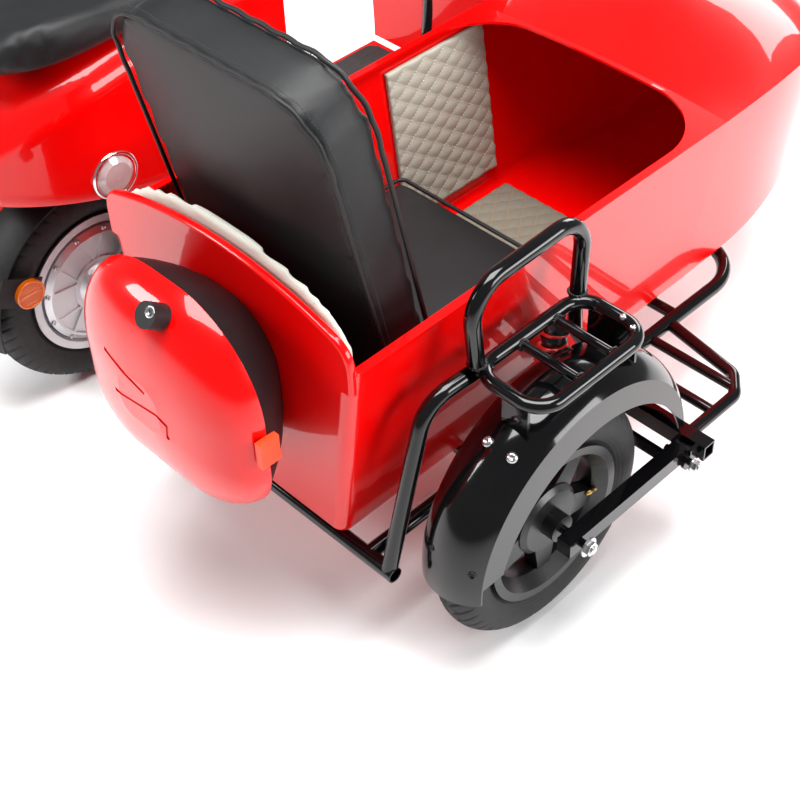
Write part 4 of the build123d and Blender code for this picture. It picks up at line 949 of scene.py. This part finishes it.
# %% Fasteners
zinc, chrome, dark = [], [], []
for x, y in ((488, 442), (512, 458)):
    chrome.append(screw(*seen(x, y, "side_mudguard"), 0.0085, 0.004))
for x, y in ((623, 317), (633, 328)):
    chrome.append(screw(*seen(x, y, "guard_brackets", "rack", "side_mudguard"), 0.005, 0.003))
dark.append(screw(*seen(432, 548, "side_mudguard"), 0.005, 0.002))
dark.append(screw(*seen(472, 576, "side_mudguard"), 0.007, 0.002))
ARM_OUT_Y = -1051 - 13
for x, z, radius in ((131, 205.5, 0.0125), (386, 190, 0.0095)):
    point, normal = cast(at(x, ARM_OUT_Y - 60, z), (0, 1, 0), ["wheel_arm", "sidecar_frame"])
    zinc.append(hexagon(point, normal, radius, 0.009))
piece("chrome_screws", "chassis", "steel", chrome)
piece("zinc_nuts", "chassis", "steel", zinc, smooth=False)
piece("guard_rivets", "chassis", "black_plastic", dark)

hub_screws = []
HUB_SCREWS = 12
HUB_SCREW_R = 112.0
for k in range(HUB_SCREWS):
    angle = TURN * (k + 0.5) / HUB_SCREWS
    for side in (-1, 1):
        start = at(HUB_SCREW_R * math.cos(angle), side * 200, 205.5 + HUB_SCREW_R * math.sin(angle))
        point, normal = cast(start, (0, -side, 0), ["hub_motor"])
        hub_screws.append(screw(point, Vector((0, side, 0)), 0.005, 0.003))
piece("hub_screws", "rear_wheel", "steel", hub_screws)
axle_nuts = []
for side in (-1, 1):
    point, _ = cast(at(0, side * 300, 205.5), (0, -side, 0), ["rear_swingarm", "hub_motor"])
    axle_nuts.append(hexagon(point, Vector((0, side, 0)), 0.0115, 0.009))
piece("rear_axle_nuts", "chassis", "steel", axle_nuts, smooth=False)

BRASS = finish("brass", (0.55, 0.36, 0.12), 0.3, dust=0.15, ripple=700, bump=0.1, Metallic=1.0)
start, way = sight(609, 479)
wheel_plane = SIDE_AXLE.y - 0.020
foot = start + way * ((wheel_plane - start.y) / way.y)
spoke = Vector((foot.x - SIDE_AXLE.x, 0, foot.z - SIDE_AXLE.z)).normalized()
VALVE_SEAT = 0.1245
valve_foot = SIDE_AXLE + spoke * VALVE_SEAT + Vector((0, wheel_plane - SIDE_AXLE.y, 0))
valve_profile = [(0, -0.004), (0.0075, -0.004), (0.0075, 0.002), (0.0045, 0.006), (0.004, 0.020), (0.0046, 0.021),
                 (0.0046, 0.026), (0.0036, 0.027), (0.0036, 0.031), (0, 0.031)]
piece("side_valve", "side_wheel", "steel", [lathe(valve_profile, valve_foot, -spoke, 20)], BRASS)

lock_point, lock_normal = seen(150, 312, "case_lock")
KEYWAY = 0.0085
key_rim = [(0, -0.002), (KEYWAY, -0.002), (KEYWAY, 0.0012), (KEYWAY * 0.82, 0.0020), (KEYWAY * 0.76, 0.0008),
           (0, 0.0008)]
piece("lock_cylinder", "case_lid", "steel", [lathe(key_rim, lock_point, lock_normal, 32)])
slot_way = lock_normal.orthogonal().normalized()
slit = [lock_point + slot_way * (0.0045 * s) + lock_normal * 0.0008 for s in (-1, -0.5, 0, 0.5, 1)]
piece("lock_keyway", "case_lid", "black_plastic", [swept(slit, 0.0011, 8)])
print("fasteners, valve and lock placed")

# %% [markdown]
# ## Lamps
# Behind a clear lens sits a bright dish with an amber bulb, and a chrome ring holds the lens. The tail lamp's red
# lens has raised rings. The amber reflector has a rim and a bar across it.

# %% Lamp insides and bezels
CHROME = finish("chrome", (0.75, 0.75, 0.76), 0.08, dust=0.05, ripple=600, bump=0.05, Metallic=1.0)
BULB = finish("amber_bulb", (0.9, 0.25, 0.02), 0.2, dust=0.0, ripple=500, Coat_Weight=1.0)
TURN_R = 0.043
DISH_RIBS = 18
DISH_ROWS = ((0.006, 0.0), (0.012, 0.001), (0.022, 0.004), (0.033, 0.009), (0.034, 0.006), (0.006, -0.003))


def dish(centre, normal):
    """A shallow reflector with ribs that fan out from the bulb."""
    turn = Vector(normal).to_track_quat("Z", "Y").to_matrix()
    around, points = DISH_RIBS * 4, []
    for radius, height in DISH_ROWS:
        for k in range(around):
            angle = TURN * k / around
            rib = 0.0009 * math.cos(DISH_RIBS * angle) * min(1.0, radius / 0.02)
            points.append(centre + turn @ Vector((radius * math.cos(angle), radius * math.sin(angle), height + rib)))
    return points, grid_faces(len(DISH_ROWS), around, wrap_rows=True)


bezels, dishes, bulbs = [], [], []
for side in (-1, 1):
    out = Vector((0, side, 0))
    centre = at(22, side * 118, 474)
    bezels.append(lathe([(TURN_R - 0.006, 0.010), (TURN_R - 0.004, 0.0135), (TURN_R + 0.0005, 0.0125),
                         (TURN_R + 0.002, 0.009), (TURN_R + 0.002, 0.004), (TURN_R - 0.001, 0.004)], centre, out, 64,
                        ring=True))
    dishes.append(dish(centre + out * 0.001, out))
    bulbs.append(lathe([(0, 0.0), (0.0075, 0.0), (0.008, 0.005), (0.0065, 0.0095), (0.003, 0.012), (0, 0.0125)],
                       centre, out, 24))
piece("turn_lamp_bezels", "chassis", "steel", bezels, CHROME)
piece("turn_lamp_dishes", "chassis", "steel", dishes, CHROME)
piece("turn_lamp_bulbs", "chassis", "amber_lens", bulbs, BULB)

tail_low, tail_high = (Vector(corner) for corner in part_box("tail_lamp"))
tail_centre = Vector((tail_high.x, (tail_low.y + tail_high.y) / 2, (tail_low.z + tail_high.z) / 2))
rings = []
for radius, height in ((0.058, 0.0155), (0.048, 0.018), (0.038, 0.0225), (0.026, 0.0245), (0.014, 0.0255)):
    circle = [tail_centre + Vector((-height, radius * math.cos(TURN * k / 72), radius * math.sin(TURN * k / 72)))
              for k in range(72)]
    rings.append(swept(circle, 0.0017, 8, closed=True))
piece("tail_lamp_rings", "chassis", "red_lens", rings)
rim = [(0.0625, 0.0), (0.0625, 0.015), (0.065, 0.0175), (0.0675, 0.015), (0.0685, 0.0)]
piece("tail_lamp_rim", "chassis", "steel", [lathe(rim, tail_centre, (-1, 0, 0), 72, ring=True)], CHROME)

reflector_low, reflector_high = (Vector(corner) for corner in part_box("side_reflector"))
reflector_centre = (reflector_low + reflector_high) / 2
face_y = reflector_low.y
disc_r = (reflector_high.x - reflector_low.x) / 2
rim_r = disc_r - 0.0025
rim_circle = [Vector((reflector_centre.x + rim_r * math.cos(TURN * k / 48), face_y,
                      reflector_centre.z + rim_r * math.sin(TURN * k / 48))) for k in range(48)]
amber = [swept(rim_circle, 0.0022, 8, closed=True)]
for height, reach in ((0, 0.8), (0.009, 0.72), (-0.009, 0.72), (0.017, 0.5), (-0.017, 0.5)):
    bar = [Vector((reflector_centre.x + reach * disc_r * s, face_y, reflector_centre.z + height))
           for s in (-1, -0.5, 0, 0.5, 1)]
    amber.append(swept(bar, 0.0024 if height == 0 else 0.0011, 8))
piece("reflector_relief", "chassis", "amber_lens", amber)
print("lamps fitted")

# %% [markdown]
# ## Springs and welds
# The sidecar's shock absorber carries a red spring, which shows through the rack. The rack's tubes are joined by
# rippled weld beads.

# %% Springs and weld beads
SPRING_RED = finish("spring_red", (0.62, 0.01, 0.008), 0.3, dust=0.05, ripple=400, Coat_Weight=0.6)


def spring(low, high, y, turns, radius=0.0195, wire=0.0032):
    bottom, top = at(low[0], y, low[1]), at(high[0], y, high[1])
    along = (top - bottom).normalized()
    return coil(bottom + along * 0.031, top - along * 0.027, radius, wire, turns)


piece("side_spring", "chassis", "shock_black", [spring((196, 236), (262, 474), -893, 9)], SPRING_RED)
piece("rear_springs", "chassis", "shock_black",
      [spring((62, 240), (96, 438), side * 88, 9) for side in (-1, 1)], SPRING_RED)

beads = []
RACK_SIDES = (-1031 + 11, -906 - 11)
for x in (154, 227):
    for y in RACK_SIDES:
        beads.append(bead(at(x, y, 498), (0, 1, 0), 0.0078))
for x, lean in ((70, -0.02), (284, 0.01)):
    beads.append(bead(at(x, -906, 511), (lean, 0, 1), 0.0128))
piece("rack_welds", "chassis", "frame_black", beads)
print("springs and welds made")
